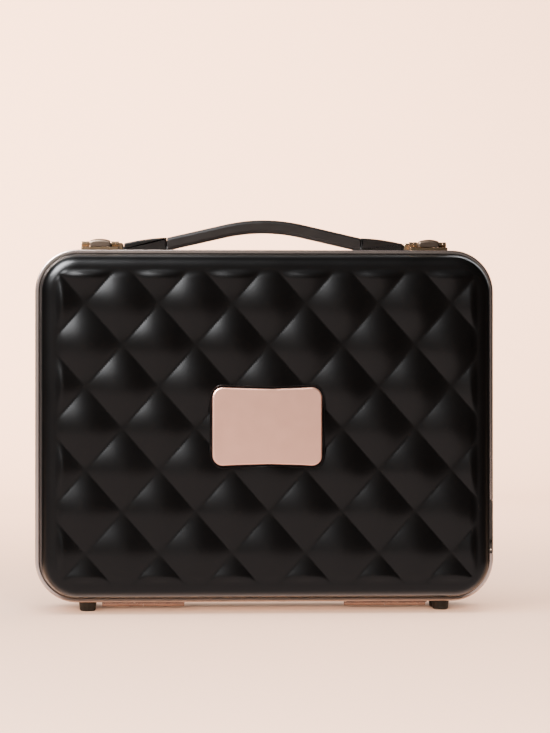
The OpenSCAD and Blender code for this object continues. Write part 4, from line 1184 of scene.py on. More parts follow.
class MAKEUPCASE_OT_latches(bpy.types.Operator):
    """Draw latches: plates, levers, hooks and keepers"""
    bl_idname = "makeup_case.latches"
    bl_label = "Latches"
    bl_options = {"REGISTER", "UNDO"}

    def execute(self, context):
        sizes = context.scene.case_fittings
        for hand in ("left", "right"):
            low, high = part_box(f"latch_plate_{hand}")
            centre = (low.x + high.x) / 2
            self.plate(hand, centre, (high.x - low.x) / 2, sizes)
            self.lever(hand, centre, sizes)
            self.hook(hand, centre, sizes)
            self.keeper(hand, centre, sizes)
        return {"FINISHED"}

    def plate(self, hand, centre, half, sizes):
        """Base plate with a knuckle on a block at each side of the lever."""
        node = f"latch_plate_{hand}"
        low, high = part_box(node)
        back, front = SPLIT_Y - high.y, SPLIT_Y - low.y
        inner, r = 8.3 * MM, sizes.knuckle / 2
        neck, soft, sunk = 1.15 * MM, 0.2 * MM, 0.2 * MM
        groove_half, groove_floor, groove_depth = 0.45 * MM, 0.2 * MM, 0.22 * MM
        bm = bmesh.new()
        plan = rounded(rectangle(-half, half, back, front), 1.0 * MM, 5)
        prism(bm, plan, 0, LATCH_PLATE_T, sizes.edge,
              lambda u, v, t: Vector((centre + u, SPLIT_Y - v, FRAME_TOP + t)))
        for sign in (LEFT, RIGHT):
            ends = sorted((sign * inner, sign * half))
            groove = (ends[0] + ends[1]) / 2
            profile = rod_profile(r, ends[0], ends[1], 0.3 * MM)
            middle = len(profile) // 2
            ring = [(r, groove - groove_half), (r - groove_depth, groove - groove_floor),
                    (r - groove_depth, groove + groove_floor), (r, groove + groove_half)]
            lathe(bm, profile[:middle] + ring + profile[middle:], lambda u, v, t: Vector(
                (centre + t, SPLIT_Y - LATCH_PIN_Y - u, FRAME_TOP + LATCH_PIN_Z + v)), 40)
            block = rounded(rectangle(LATCH_PIN_Y - neck, LATCH_PIN_Y + neck,
                                      LATCH_PLATE_T - sunk, LATCH_PIN_Z), soft, 2)
            prism(bm, block, ends[0] + 0.5 * MM, ends[1] - 0.5 * MM, soft, latch_put(centre), 2)
        piece(f"latch_base_{hand}", bm, pale_brass(), "lid", [node])

    def lever(self, hand, centre, sizes):
        """Domed lever with two ears on the pin."""
        node = f"latch_lever_{hand}"
        low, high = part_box(node)
        half = (high.x - low.x) / 2
        top, front = high.z - FRAME_TOP, SPLIT_Y - low.y
        back, floor, r = 9.6 * MM, 2.6 * MM, 3 * MM
        ear_t, ear_r, ear_in = 2.4 * MM, 2.1 * MM, back + 1 * MM
        side_round = 0.9 * MM

        def drop(x):
            """How far the lever's crown falls at a distance from its middle."""
            return sizes.crown - math.sqrt(sizes.crown ** 2 - x * x)

        over = arc((front - r, top - r), r, 6, 81, 14)
        section = [(back, floor), (front, floor)] + over + [(back, over[-1][1])]
        soft = rounded(section, [0.3 * MM, 0.3 * MM] + [0] * len(over) + [0.4 * MM], 3)
        start = [(-half + side_round * (1 - math.cos(a)), side_round * (1 - math.sin(a)))
                 for a in quarter(6)]
        inner, parts = half - side_round, 16
        stations = start + [(-inner + 2 * inner * k / parts, 0) for k in range(1, parts)]
        stations += [(-x, by) for x, by in reversed(start)]
        rings = []
        for x, by in stations:
            ring = inset(soft, by)
            share = [(v - floor) / (top - floor) for u, v in ring]
            rings.append([Vector((centre + x, SPLIT_Y - u, FRAME_TOP + v - drop(x) * max(s, 0)))
                          for (u, v), s in zip(ring, share)])
        bm = bmesh.new()
        loft(bm, rings)
        for sign in (LEFT, RIGHT):
            ends = sorted((sign * half, sign * (half - ear_t)))
            eye = arc((LATCH_PIN_Y, LATCH_PIN_Z), ear_r, 100, 260, 14)
            ear = eye + [(ear_in, LATCH_PIN_Z - 1.9 * MM), (ear_in, LATCH_PIN_Z + 1.35 * MM)]
            prism(bm, ear, ends[0] + 0.05 * MM, ends[1] - 0.05 * MM, 0.3 * MM, latch_put(centre), 3)
        piece(f"latch_handle_{hand}", bm, lever_brass(), node, [node])

    def hook(self, hand, centre, sizes):
        """Flat arm with an eye at one end and a claw at the other."""
        node = f"latch_hook_{hand}"
        low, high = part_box(node)
        half = (high.x - low.x) / 2
        eye_y, eye_z, eye_r = 7.5 * MM, 4.4 * MM, 1.7 * MM
        claw, claw_t, claw_tip, arm = -4.4 * MM, 1.6 * MM, 2.9 * MM, 0.8 * MM
        outline = [(claw, claw_tip), (claw + claw_t, claw_tip), (claw + claw_t, eye_z - arm),
                   (eye_y - 1.4 * MM, eye_z - arm)]
        outline += arc((eye_y, eye_z), eye_r, 212, 508, 18)
        outline += [(eye_y - 1.5 * MM, eye_z + arm), (claw, eye_z + arm)]
        radii = [0.3, 0.3, 0.4, 0.1] + [0] * 19 + [0.1, 0.7]
        bm = bmesh.new()
        prism(bm, rounded(outline, [r * MM for r in radii], 3), -half, half, sizes.edge * 0.7,
              latch_put(centre), 3)
        piece(f"latch_claw_{hand}", bm, pale_brass(), node, [node])

    def keeper(self, hand, centre, sizes):
        """Angle on the back frame that the hook pulls on."""
        node = f"keeper_{hand}"
        low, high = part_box(node)
        half = (high.x - low.x) / 2
        back, lip = SPLIT_Y - high.y, SPLIT_Y - low.y
        height, lip_t = high.z - FRAME_TOP, 1 * MM
        outline = [(back, 0), (lip, 0), (lip, height), (lip - lip_t, height), (lip - lip_t, KEEPER_T),
                   (back, KEEPER_T)]
        radii = [r * MM for r in (0.1, 0.1, 0.4, 0.4, 0.4, 0.4)]
        bm = bmesh.new()
        prism(bm, rounded(outline, radii, 3), -half, half, sizes.edge, latch_put(centre), 3)
        piece(f"latch_keeper_{hand}", bm, pale_brass(), "base", [node])


# Handle

def grip_slope(sizes, joint):
    """Slope of the grip's straight parts, between its crown and its joints."""
    return sizes.rise / (joint - sizes.crown / 2)


def grip_height(x, sizes, joint):
    """How far the grip's underside stands above its ends."""
    slope = grip_slope(sizes, joint)
    if abs(x) < sizes.crown:
        return sizes.rise - slope * x * x / (2 * sizes.crown)
    return slope * (joint - abs(x))


class MAKEUPCASE_OT_handle(bpy.types.Operator):
    """Arched grip, wedge-shaped ends and the brackets that hold them"""
    bl_idname = "makeup_case.handle"
    bl_label = "Handle"
    bl_options = {"REGISTER", "UNDO"}

    def execute(self, context):
        sizes = context.scene.case_handle
        self.grip(sizes)
        for hand, sign in (("left", LEFT), ("right", RIGHT)):
            self.end(sizes, hand, sign)
            self.bracket(hand, sign)
        return {"FINISHED"}

    def grip(self, sizes):
        """Bevelled bar that follows the arch, with a pocket for the nose at each end."""
        low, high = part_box("handle_grip")
        middle_y, half_w, joint = (low.y + high.y) / 2, (high.y - low.y) / 2, high.x
        bevel, t = sizes.bevel, sizes.thickness
        corners = [(-half_w, bevel), (-half_w + bevel, 0), (half_w - bevel, 0), (half_w, bevel),
                   (half_w, t - bevel), (half_w - bevel, t), (-half_w + bevel, t), (-half_w, t - bevel)]
        section = rounded(corners, 0.7 * MM, 4)
        edge, count = 0.4 * MM, 72
        start = [(-joint + edge * (1 - math.cos(a)), edge * (1 - math.sin(a))) for a in quarter(3)[:-1]]
        inner = joint - edge
        stations = start + [(-inner + 2 * inner * k / count, 0) for k in range(count + 1)]
        stations += [(-x, by) for x, by in reversed(start)]
        rings = []
        for x, by in stations:
            lift = low.z + grip_height(x, sizes, joint)
            rings.append([Vector((x, middle_y + u, lift + v)) for u, v in inset(section, by)])
        bm = bmesh.new()
        loft(bm, rings)
        obj = loose("grip", bm)
        pin_low, pin_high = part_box("handle_pin_right")
        axis_z = (pin_low.z + pin_high.z) / 2
        for sign in (LEFT, RIGHT):
            bm = bmesh.new()
            half = sizes.pocket_w / 2
            lathe(bm, [(sizes.pocket, middle_y - half), (sizes.pocket, middle_y + half)],
                  along_y(sign * joint, axis_z), 48)
            cut(obj, loose("pocket", bm))
        obj.name = "handle_grip_covered"
        dress(obj, grip_leather(), "handle", ["handle_grip"], sharp=32)

    def end(self, sizes, hand, sign):
        """Wedge that thins toward its bracket, with a round nose at the joint."""
        node = f"handle_end_{hand}"
        low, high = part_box(node)
        middle_y, half_w, bottom = (low.y + high.y) / 2, (high.y - low.y) / 2, low.z
        pin_low, pin_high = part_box(f"handle_pin_{hand}")
        joint = abs(pin_low.x + pin_high.x) / 2
        axis_z = (pin_low.z + pin_high.z) / 2
        start, reach = joint + 0.45 * MM, max(abs(low.x), abs(high.x))
        span = reach - start
        tip, t, swell, parts = sizes.tip, sizes.thickness, 0.85 * MM, 12
        top = []
        for k in range(parts + 1):
            s = k / parts
            rise = (t - tip) * (1 - s) + swell * math.sin(math.pi * s ** 0.9)
            top.append((start + span * s, bottom + tip + rise))
        outline = [(start, bottom), (reach, bottom)] + list(reversed(top))
        radii = [1.0 * MM, 0.8 * MM, 1.2 * MM] + [0] * (parts - 1) + [0.3 * MM]
        plan = rounded(outline, radii, 4)
        slope, clear, root = grip_slope(sizes, joint), 0.2 * MM, start + 1 * MM
        nose = [p for p in arc((joint, axis_z), sizes.nose, 90, 210, 24)
                if p[1] > bottom + slope * (joint - p[0]) + clear]
        nose += [(joint, bottom + clear), (root, bottom + clear), (root, axis_z + sizes.nose)]
        if sign < 0:
            plan = [(-u, v) for u, v in reversed(plan)]
            nose = [(-u, v) for u, v in reversed(nose)]
        half = sizes.nose_w / 2
        bm = bmesh.new()
        prism(bm, plan, middle_y - half_w, middle_y + half_w, 1.5 * MM, along_y(), 6)
        prism(bm, nose, middle_y - half, middle_y + half, 0.3 * MM, along_y(), 2)
        piece(f"handle_wedge_{hand}", bm, handle_black(), node, [node], sharp=32)

    def bracket(self, hand, sign):
        """Rounded hood that holds the tongue, with a tab under a rivet."""
        node = f"handle_bracket_{hand}"
        low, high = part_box(node)
        inner, outer = sorted((abs(low.x), abs(high.x)))
        middle_y, half_w = (low.y + high.y) / 2, (high.y - low.y) / 2
        height = high.z - FRAME_TOP
        hood_end, tab_r, tab_in, wall = outer - 7 * MM, 4 * MM, 0.6 * MM, 1 * MM
        mouth_half, mouth_h, mouth_in, room_half = 5 * MM, 4.3 * MM, 4 * MM, 7 * MM
        put = (lambda u, v, t: Vector((sign * u, t, FRAME_TOP + v)))
        shape = rounded(rectangle(inner, hood_end, 0, height), [0.2 * MM, 0.2 * MM, 2.6 * MM, 2.2 * MM], 6)
        bm = bmesh.new()
        prism(bm, shape, middle_y - half_w, middle_y + half_w, 1.0 * MM, put, 5)
        obj = loose("hood", bm)
        for start, end, half in ((inner - PAST, inner + mouth_in, mouth_half),
                                 (inner + mouth_in - wall, hood_end - wall, room_half)):
            bm = bmesh.new()
            prism(bm, rectangle(start, end, wall, wall + mouth_h), middle_y - half, middle_y + half, 0, put)
            cut(obj, loose("mouth", bm))
        bm = bmesh.new()
        bm.from_mesh(obj.data)
        bpy.data.objects.remove(obj)
        tab_x, root = outer - tab_r, hood_end - tab_in
        tab = [(root, -tab_r), (tab_x, -tab_r)] + arc((tab_x, 0), tab_r, -80, 80, 16)
        tab += [(tab_x, tab_r), (root, tab_r)]
        prism(bm, tab, 0, TAB_T, 0.35 * MM,
              lambda u, v, t: Vector((sign * u, middle_y + v, FRAME_TOP + t)), 3)
        piece(f"handle_hood_{hand}", bm, pale_brass(), "base", [node])


# Port panel

class MAKEUPCASE_OT_port_panel(bpy.types.Operator):
    """Panel in the front frame's side, with the power button"""
    bl_idname = "makeup_case.port_panel"
    bl_label = "Port Panel"
    bl_options = {"REGISTER", "UNDO"}

    def execute(self, context):
        self.panel()
        self.button()
        return {"FINISHED"}

    def panel(self):
        """Rounded panel with countersunk holes for the button and the light, and a slot for the socket."""
        low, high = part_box("port_panel")
        face, sink = low.y, 0.35 * MM
        outline = rounded(rectangle(low.y, high.y, low.z, high.z), 0.9 * MM, 5)
        bm = bmesh.new()
        prism(bm, outline, low.x, high.x, 0.7 * MM, along_x(), 5)
        obj = loose("panel", bm)
        for (start, end), gap in ((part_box("power_button"), 0.25 * MM), (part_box("status_light"), 0.05 * MM)):
            middle, radius = (start + end) / 2, (end.z - start.z) / 2 + gap
            bm = bmesh.new()
            lathe(bm, [(radius + sink, face - PAST), (radius + sink, face), (radius, face + sink),
                       (radius, end.y + 0.7 * MM)], along_y(middle.x, middle.z), 32)
            cut(obj, loose("hole", bm))
        start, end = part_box("charge_socket")
        middle = (start + end) / 2
        half_y, half_z = (end.y - start.y) / 2, (end.z - start.z) / 2
        slot = rounded(rectangle(middle.y - half_y, middle.y + half_y,
                                 middle.z - half_z, middle.z + half_z), 1.4 * MM, 6)
        bm = bmesh.new()
        prism(bm, slot, low.x - PAST, high.x + PAST, 0, along_x())
        cut(obj, loose("slot", bm))
        obj.name = "port_panel_moulded"
        dress(obj, panel_black(), "lid", ["port_panel"])

    def button(self):
        """Round cap with a shallow dish."""
        low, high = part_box("power_button")
        middle, radius, start = (low + high) / 2, (high.z - low.z) / 2, low.y
        profile = [(0.05 * MM, start + 0.15 * MM), (radius * 0.55, start + 0.1 * MM),
                   (radius * 0.75, start), (radius - 0.05 * MM, start + 0.15 * MM),
                   (radius, start + 0.4 * MM), (radius, high.y)]
        bm = bmesh.new()
        lathe(bm, profile, along_y(middle.x, middle.z), 32)
        piece("power_button_cap", bm, soft_rubber(), "power_button", ["power_button"])


# Inside

def liner_solid(bm, side, depth):
    """A formed liner: wall, rounded floor edge and flat floor, as one closed sheet."""
    sizes = bpy.context.scene.case_inside
    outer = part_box("lid_liner" if side == FRONT else "base_liner")[1].x - HALF_W
    t, r, lip = sizes.liner, sizes.fillet, 0.4 * MM
    outside = [(outer, LINER_RIM)]
    outside += [(outer - r + r * math.cos(a), depth - r + r * math.sin(a)) for a in quarter(6)]
    inside = [(outer - t, LINER_RIM)]
    inside += [(outer - r + (r - t) * math.cos(a), depth - r + (r - t) * math.sin(a)) for a in quarter(6)]
    rows = outside[::-1] + [(outer - t / 2, LINER_RIM - lip)] + inside
    corner = bpy.context.scene.case_frame.corner
    sweep(bm, frame_path(HALF_W, HALF_H, corner, 14), rows, facing(side), capped=True)


class MAKEUPCASE_OT_tray(bpy.types.Operator):
    """Flocked tray of the back half and its covered dividers"""
    bl_idname = "makeup_case.tray"
    bl_label = "Tray"
    bl_options = {"REGISTER", "UNDO"}

    def execute(self, context):
        bm = bmesh.new()
        liner_solid(bm, BACK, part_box("base_liner")[1].y - SPLIT_Y)
        piece("tray_lining", bm, flocked(), "base", ["base_liner"], sharp=50)
        low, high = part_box("tray_dividers")
        rim, floor = low.y - SPLIT_Y, high.y - SPLIT_Y
        half_x, half_z = high.x, (high.z - low.z) / 2
        x, left_z, middle_z, right_z = 60 * MM, 20 * MM, -30 * MM, 42 * MM
        bm = bmesh.new()
        for place, start, end, upright in (
                (-x, -half_z, half_z, True), (x, -half_z, half_z, True), (left_z, -half_x, -x, False),
                (middle_z, -x, x, False), (right_z, x, half_x, False), (-right_z, x, half_x, False)):
            self.divider(bm, place, start, end, upright, rim, floor)
        piece("covered_dividers", bm, divider_suede(), "base", ["tray_dividers"], sharp=50)
        return {"FINISHED"}

    def divider(self, bm, place, start, end, upright, rim, floor):
        """Wall that thins a little toward the floor, with a round top edge."""
        t, foot = 1.5 * MM, 0.92
        section = [(-t * foot, floor), (t * foot, floor)]
        section += [(t * math.cos(a), rim + t - t * math.sin(a)) for a in quarter(10, turn=180)]

        def put(u, v, s):
            x, z = (place + u, s) if upright else (s, place + u)
            return Vector((x, SPLIT_Y + v, MIDDLE_Z + z))

        prism(bm, section[::-1], start, end, 0.4 * MM, put, 2)


def lamp_part():
    """A small square lamp, one unit wide."""
    bm = bmesh.new()
    half, height, corner, edge = 0.5, 0.42, 0.08, 0.05
    outline = rounded(rectangle(-half, half, -half, half), corner, 2)
    prism(bm, outline, 0, height, edge, along_z(), 2)
    return loose("lamp", bm)


class MAKEUPCASE_OT_mirror(bpy.types.Operator):
    """Lining of the front half, mirror, light ring, lamps and touch switch"""
    bl_idname = "makeup_case.mirror"
    bl_label = "Lit Mirror"
    bl_options = {"REGISTER", "UNDO"}

    def execute(self, context):
        sizes = context.scene.case_inside
        mirror_low, mirror_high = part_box("mirror_glass")
        seat = SPLIT_Y - mirror_low.y
        self.lining(seat + sizes.liner)
        self.glass(sizes, seat, SPLIT_Y - mirror_high.y)
        self.light_ring(sizes, seat)
        self.lamps(sizes, seat)
        self.switch()
        return {"FINISHED"}

    def lining(self, floor):
        """Formed lining, and the posts that carry it behind the mirror."""
        put = facing(FRONT)
        bm = bmesh.new()
        liner_solid(bm, FRONT, floor)
        end = SPLIT_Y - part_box("lid_liner")[0].y
        post_x, post_z, post_r, sunk = 150 * MM, 108 * MM, 3 * MM, 0.2 * MM
        for x in (-post_x, 0, post_x):
            for z in (-post_z, post_z):
                lathe(bm, [(post_r, floor - sunk), (post_r, end)],
                      lambda u, v, t, x=x, z=z: put(x + u, z + v, t), 24)
        piece("lid_lining", bm, flocked(), "lid", ["lid_liner"], sharp=50)

    def glass(self, sizes, seat, face):
        """Mirror with a bevel wider than it is deep."""
        low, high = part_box("mirror_glass")
        half_w, half_h = high.x, (high.z - low.z) / 2
        put = facing(FRONT)
        outline = rounded(rectangle(-half_w, half_w, -half_h, half_h), MIRROR_CORNER, 12)
        rings = [[put(u, v, seat) for u, v in outline],
                 [put(u, v, face + sizes.bevel * 0.45) for u, v in outline],
                 [put(u, v, face) for u, v in inset(outline, sizes.bevel * 2.5)]]
        bm = bmesh.new()
        loft(bm, rings)
        piece("bevelled_mirror", bm, silvered_glass(), "lid", ["mirror_glass"], sharp=4)

    def ring_corner(self, sizes):
        """Corner radius of the light ring's outside."""
        return MIRROR_CORNER + sizes.light_w + 0.5 * MM

    def light_ring(self, sizes, seat):
        """Opal channel over the lamps, with rounded edges."""
        low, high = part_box("light_diffuser")
        front = SPLIT_Y - high.y
        width, wall, soft = sizes.light_w, 1.6 * MM, 1.4 * MM
        outer = arc((-soft, front + soft), soft, 0, -90, 5)
        inner = arc((-width + soft, front + soft), soft, 270, 180, 5)
        profile = [(0, seat)] + outer + inner
        profile += [(-width, seat), (-width + wall, seat), (-width + wall, front + wall),
                    (-wall, front + wall), (-wall, seat)]
        bm = bmesh.new()
        path = frame_path(high.x, (high.z - low.z) / 2, self.ring_corner(sizes), 14)
        sweep(bm, path, profile, facing(FRONT))
        piece("opal_light_ring", bm, opal_plastic(), "lid", ["light_diffuser"])

    def lamps(self, sizes, seat):
        """Board strip under the light ring, and the lamps that a node tree sets along it."""
        put = facing(FRONT)
        low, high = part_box("light_board")
        half_w, half_h = high.x, (high.z - low.z) / 2
        level = SPLIT_Y - high.y
        corner, inward = self.ring_corner(sizes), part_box("light_diffuser")[1].x - half_w
        reach = sizes.light_w - 2 * inward
        bm = bmesh.new()
        sweep(bm, frame_path(half_w, half_h, corner - inward, 14),
              [(0, seat), (0, level), (-reach, level), (-reach, seat)], put)
        piece("lamp_strip", bm, board_white(), "lid", ["light_board"])
        centre_w, centre_h = half_w - reach / 2, half_h - reach / 2
        pitch, proud = sizes.led_pitch, 0.05 * MM
        spots = []
        for along, across, turned in ((centre_w, centre_h, False), (centre_h, centre_w, True)):
            count = int(2 * (along - corner) / pitch)
            for sign in (-1, 1):
                for k in range(count + 1):
                    s = (k - count / 2) * pitch
                    spot = (sign * across, s) if turned else (s, sign * across)
                    spots.append((put(*spot, level + proud), (0, 1, 0)))
        obj = set_parts("strip_lamps", lamp_part(), spots, 2.8 * MM, lamp_yellow())
        dress(obj, lamp_yellow(), "lid")

    def switch(self):
        """Round touch switch with a groove round its dished face."""
        low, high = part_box("touch_switch")
        middle, r = (low + high) / 2, (high.x - low.x) / 2
        base, top = SPLIT_Y - low.y, SPLIT_Y - high.y
        # Distance in from the rim and depth under the top, in millimetres
        steps = ((0, 0.35), (0.3, 0), (1.2, 0), (1.4, 0.25), (1.7, 0.25), (1.9, 0.05))
        profile = [(r, base)] + [(r - by * MM, top + under * MM) for by, under in steps]
        profile += [(1.0 * MM, top + 0.3 * MM), (0.05 * MM, top + 0.35 * MM)]
        bm = bmesh.new()
        lathe(bm, profile, lambda u, v, t: Vector((middle.x + u, SPLIT_Y - t, middle.z + v)), 48)
        piece("touch_button", bm, rose_plate(), "lid", ["touch_switch"])


class MAKEUPCASE_OT_electronics(bpy.types.Operator):
    """Battery and control board behind the mirror"""
    bl_idname = "makeup_case.electronics"
    bl_label = "Electronics"
    bl_options = {"REGISTER", "UNDO"}

    def execute(self, context):
        self.battery()
        self.board()
        return {"FINISHED"}

    def battery(self):
        """Two wrapped cells side by side, with the strip that joins them on top."""
        low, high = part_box("battery_pack")
        gap, middle = 0.25 * MM, (low.x + high.x) / 2
        strip_in, strip_h, strip_y = 8 * MM, 9 * MM, 2 * MM
        bm = bmesh.new()
        for x0, x1 in ((low.x, middle - gap), (middle + gap, high.x)):
            box_solid(bm, (x0, low.y, low.z), (x1, high.y, high.z), 2.2 * MM)
        box_solid(bm, (low.x + strip_in, low.y + 0.05 * MM, high.z - strip_h),
                  (high.x - strip_in, high.y - strip_y, high.z - 0.5 * MM), 0.5 * MM)
        piece("battery_cells", bm, battery_wrap(), "lid", ["battery_pack"])

    def board(self):
        """Board on four posts, with its chips."""
        low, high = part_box("control_board")
        front = high.y - 1.6 * MM
        post_in, post_r, sunk, chip_t = 4 * MM, 2 * MM, 0.1 * MM, 1.2 * MM
        bm = bmesh.new()
        plan = rounded(rectangle(low.x, high.x, low.z, high.z), 2 * MM, 4)
        prism(bm, plan, front, high.y, 0.1 * MM, along_y(), 1)
        for x in (low.x + post_in, high.x - post_in):
            for z in (low.z + post_in, high.z - post_in):
                lathe(bm, [(post_r, low.y), (post_r, front + sunk)], along_y(x, z), 24)
        # Chips: place as a share of the board's width and height, then width and height in millimetres
        chips = ((0.28, 0.5, 8, 8), (0.55, 0.62, 12, 6), (0.55, 0.3, 5, 5), (0.78, 0.45, 6, 10),
                 (0.36, 0.2, 3, 2), (0.44, 0.2, 3, 2), (0.70, 0.78, 3, 2), (0.20, 0.78, 6, 4))
        for u, v, w, h in chips:
            x, z = low.x + u * (high.x - low.x), low.z + v * (high.z - low.z)
            box_solid(bm, (x - w * MM / 2, front - chip_t, z - h * MM / 2),
                      (x + w * MM / 2, front + sunk, z + h * MM / 2), 0.15 * MM)
        piece("control_circuit", bm, board_green(), "lid", ["control_board"])


class MAKEUPCASE_OT_metal_finishes(bpy.types.Operator):
    """Finishes of the pins, tongues, seal, socket and light pipe, whose shape is right already"""
    bl_idname = "makeup_case.metal_finishes"
    bl_label = "Pins, Seal and Socket"
    bl_options = {"REGISTER", "UNDO"}

    def execute(self, context):
        hands = ("left", "right")
        steel = ["handle_core", "charge_socket"]
        for stem in ("hinge_pin", "handle_tongue", "handle_pin", "latch_pins", "hook_pin"):
            steel += [f"{stem}_{hand}" for hand in hands]
        kept = [(steel, bright_steel()), (["frame_seal"], soft_rubber()), (["status_light"], clear_pipe())]
        for names, material in kept:
            for name in names:
                node = frame["nodes"][name]
                node.data.materials.clear()
                node.data.materials.append(material)
        return {"FINISHED"}


# Stage

@kept_as("Studio Paper")
def paper(name, colours):
    """Matt paper of the floor and the backdrop."""
    matt = Finish(name, roughness=0.85)
    matt.tones(bpy.context.scene.case_stage.paper, spread=0.01, scale=2).gloss(0.8, 0.9, scale=3)
    matt.grain(scale=900, strength=0.05, depth=0.1 * MM)
    return matt.material


def soft_light(name, place, target, size, power, tint=(1, 1, 1), sheen=False):
    """A large soft light that looks at a point: it lights what is there, or only shows as sheen on it."""
    data = bpy.data.lights.new(name, "AREA")
    data.shape = "RECTANGLE"
    data.size, data.size_y = size
    data.energy = power
    data.color = tint
    light = bpy.data.objects.new(name, data)
    light.location = place
    light.rotation_euler = (Vector(target) - Vector(place)).to_track_quat("-Z", "Y").to_euler()
    light.visible_camera = False
    light.visible_glossy = sheen
    light.visible_diffuse = not sheen
    bpy.context.scene.collection.objects.link(light)
    return light


def sheet(name, profile):
    """A wide sheet of paper along a profile of (y, z)."""
    half_w = 4.5
    bm = bmesh.new()
    rows = [[bm.verts.new((x, y, z)) for y, z in profile] for x in (-half_w, half_w)]
    for k in range(len(profile) - 1):
        bm.faces.new((rows[0][k], rows[1][k], rows[1][k + 1], rows[0][k + 1]))
    mesh = bpy.data.meshes.new(name)
    bm.to_mesh(mesh)
    bm.free()
    mesh.polygons.foreach_set("use_smooth", [True] * len(mesh.polygons))
    mesh.materials.append(paper())
    obj = bpy.data.objects.new(name, mesh)
    bpy.context.scene.collection.objects.link(obj)
    return obj


class MAKEUPCASE_OT_stage(bpy.types.Operator):
    """Pale floor and backdrop, soft lights and the camera"""
    bl_idname = "makeup_case.stage"
    bl_label = "Stage"
    bl_options = {"REGISTER", "UNDO"}

    def execute(self, context):
        self.backdrop()
        self.lights(context.scene.case_stage)
        self.surroundings()
        self.camera(context.scene.case_stage)
        return {"FINISHED"}

    def backdrop(self):
        """Floor under the case, an apron before it, and a sweep behind it that bends up to a wall.

        The apron and the sweep stay out of reflections, and the sweep throws no light back either.
        """
        wall_y, bend, reach, top, seam = 2.8, 0.9, 3.4, 4.4, 0.11
        front = -0.45 * seam
        apron = sheet("apron", [(-reach, 0.0), (front, 0.0)])
        apron.visible_glossy = False
        sheet("floor", [(front, 0.0), (seam, 0.0)])
        profile = [(wall_y - bend + bend * math.sin(a), bend - bend * math.cos(a)) for a in quarter(24)]
        sweep_up = sheet("sweep", [(seam, 0.0)] + profile + [(wall_y, top)])
        sweep_up.visible_glossy = False
        sweep_up.visible_diffuse = False

    def lights(self, sizes):
        """Soft lights for the paper and the case, then soft boxes that only show as sheen on the case."""
        middle = (0, 0, MIDDLE_Z)
        warm, amber = (1.0, 0.68, 0.485), (1.0, 0.63, 0.42)
        pale, cool, blush = (1.0, 0.98, 0.97), (0.97, 0.98, 1.0), (1.0, 0.84, 0.80)
        # Each row: name, place, target, width and height, power in watts, tint
        lights = (("key", (-1.3, -2.0, 0.75), middle, (0.8, 0.8), sizes.key, warm),
                  ("top", (0.1, -0.2, 2.3), (0, 0, 0), (2.4, 1.6), sizes.top, warm),
                  ("front", (0.6, -2.6, 1.3), middle, (1.6, 1.2), sizes.key * 0.6, warm),
                  ("low", (-0.3, -2.4, 0.30), (0, 0, 0.03), (2.4, 0.5), sizes.key * 2.6, warm),
                  ("wall", (-0.9, 1.1, 2.5), (-0.7, 2.8, 0.6), (3.0, 0.8), sizes.top * 3.6, amber))
        boxes = (("corner_box", (-0.75, -0.40, 1.15), middle, (0.7, 0.7), 150, cool),
                 ("facet_box", (-0.52, -0.52, 0.66), middle, (0.32, 0.32), 7, cool),
                 ("front_box", (-0.6, -2.6, 0.45), middle, (1.9, 1.1), 3.2, pale),
                 ("floor_box", (-0.3, -0.52, 0.01), (-0.3, -0.52, 1.0), (1.2, 0.96), 6.5, blush),
                 ("rear_box", (-0.4, 1.0, 1.2), middle, (1.2, 0.6), 2.4, pale),
                 ("back_box", (0.7, 1.5, 0.75), middle, (0.7, 0.7), 5, cool))
        made = {row[0]: soft_light(*row) for row in lights}
        made["wall"].data.spread = math.radians(128)
        for name, place, target, size, power, tint in boxes:
            soft_light(name, place, target, size, power * sizes.sheen, tint, sheen=True)

    def surroundings(self):
        """Pale to the eye and as fill light, dark in reflections, as in a darkened studio."""
        world = bpy.data.worlds.new("Studio")
        world.use_nodes = True
        nodes, links = world.node_tree.nodes, world.node_tree.links
        path = nodes.new("ShaderNodeLightPath")
        fill = nodes["Background"]
        fill.inputs["Color"].default_value = (1.0, 0.76, 0.62, 1)
        fill.inputs["Strength"].default_value = 1.0
        reflected = ("Reflected", (1.0, 0.97, 0.96, 1), 0.05, "Is Glossy Ray")
        seen = ("Seen", (1.0, 0.74, 0.60, 1), 1.8, "Is Camera Ray")
        for label, tint, strength, ray in (reflected, seen):
            other = nodes.new("ShaderNodeBackground")
            other.label = label
            other.inputs["Color"].default_value = tint
            other.inputs["Strength"].default_value = strength
            mix = nodes.new("ShaderNodeMixShader")
            links.new(path.outputs[ray], mix.inputs["Fac"])
            links.new(fill.outputs[0], mix.inputs[1])
            links.new(other.outputs[0], mix.inputs[2])
            fill = mix
        links.new(fill.outputs[0], nodes["World Output"].inputs["Surface"])
        bpy.context.scene.world = world

    def camera(self, sizes):
        """Camera a little to the left, almost level with the case, which sits low in the picture."""
        data = bpy.data.cameras.new("camera")
        data.sensor_fit = "VERTICAL"
        data.sensor_height = 24.0
        data.lens = sizes.focal
        flat = math.cos(sizes.elevation) * sizes.distance
        obj = bpy.data.objects.new("camera", data)
        obj.location = (math.sin(sizes.azimuth) * flat, -math.cos(sizes.azimuth) * flat,
                        MIDDLE_Z + math.sin(sizes.elevation) * sizes.distance)
        obj.rotation_euler = (math.pi / 2 - sizes.elevation + sizes.tilt, 0, sizes.azimuth - sizes.pan)
        bpy.context.scene.collection.objects.link(obj)
        bpy.context.scene.camera = obj


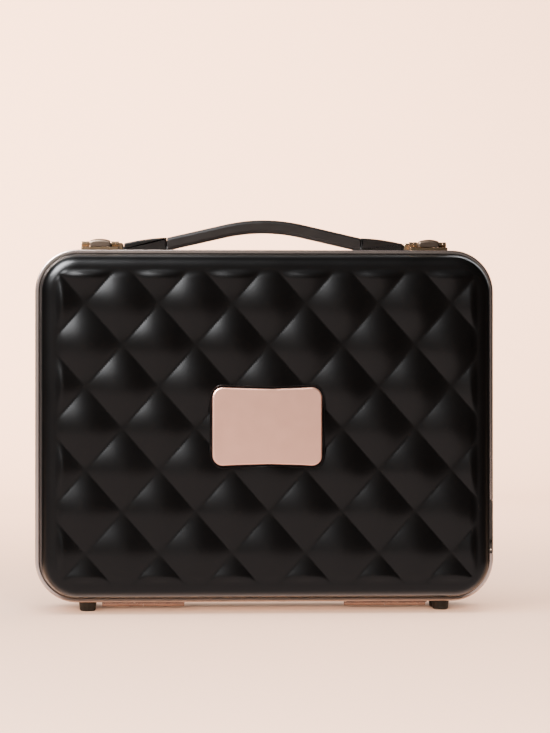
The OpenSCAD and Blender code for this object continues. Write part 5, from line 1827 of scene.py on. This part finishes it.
OPERATORS = (
    MAKEUPCASE_OT_quilted_shells, MAKEUPCASE_OT_frames, MAKEUPCASE_OT_name_plate, MAKEUPCASE_OT_feet,
    MAKEUPCASE_OT_hinges, MAKEUPCASE_OT_rivets, MAKEUPCASE_OT_latches, MAKEUPCASE_OT_handle,
    MAKEUPCASE_OT_port_panel, MAKEUPCASE_OT_tray, MAKEUPCASE_OT_mirror, MAKEUPCASE_OT_electronics,
    MAKEUPCASE_OT_metal_finishes, MAKEUPCASE_OT_stage,
)
SETTINGS = {
    "case_quilt": QuiltSizes, "case_frame": FrameSizes, "case_plate": PlateSizes,
    "case_handle": HandleSizes, "case_fittings": LatchSizes, "case_inside": InsideSizes,
    "case_colours": CaseColours, "case_stage": StageSizes,
}


class MAKEUPCASE_PT_panel(bpy.types.Panel):
    """Lists the case's pieces, sizes and colours"""
    bl_idname = "MAKEUPCASE_PT_panel"
    bl_label = "Makeup Case"
    bl_space_type = "VIEW_3D"
    bl_region_type = "UI"
    bl_category = "Makeup Case"

    def draw(self, context):
        for operator in OPERATORS:
            self.layout.operator(operator.bl_idname)
        for name, group in SETTINGS.items():
            box = self.layout.box()
            box.label(text=group.__doc__)
            for field in group.__annotations__:
                box.prop(getattr(context.scene, name), field)


def register():
    for group in SETTINGS.values():
        bpy.utils.register_class(group)
    for name, group in SETTINGS.items():
        setattr(bpy.types.Scene, name, PointerProperty(type=group))
    for operator in OPERATORS:
        bpy.utils.register_class(operator)
    bpy.utils.register_class(MAKEUPCASE_PT_panel)


def unregister():
    bpy.utils.unregister_class(MAKEUPCASE_PT_panel)
    for operator in reversed(OPERATORS):
        bpy.utils.unregister_class(operator)
    for name in SETTINGS:
        delattr(bpy.types.Scene, name)
    for group in SETTINGS.values():
        bpy.utils.unregister_class(group)


def main():
    register()
    bpy.ops.makeup_case.stage()
    bpy.ops.makeup_case.quilted_shells()
    bpy.ops.makeup_case.frames()
    bpy.ops.makeup_case.name_plate()
    bpy.ops.makeup_case.feet()
    bpy.ops.makeup_case.hinges()
    bpy.ops.makeup_case.rivets()
    bpy.ops.makeup_case.latches()
    bpy.ops.makeup_case.handle()
    bpy.ops.makeup_case.port_panel()
    bpy.ops.makeup_case.tray()
    bpy.ops.makeup_case.mirror()
    bpy.ops.makeup_case.electronics()
    bpy.ops.makeup_case.metal_finishes()


if __name__ == "__main__":
    main()
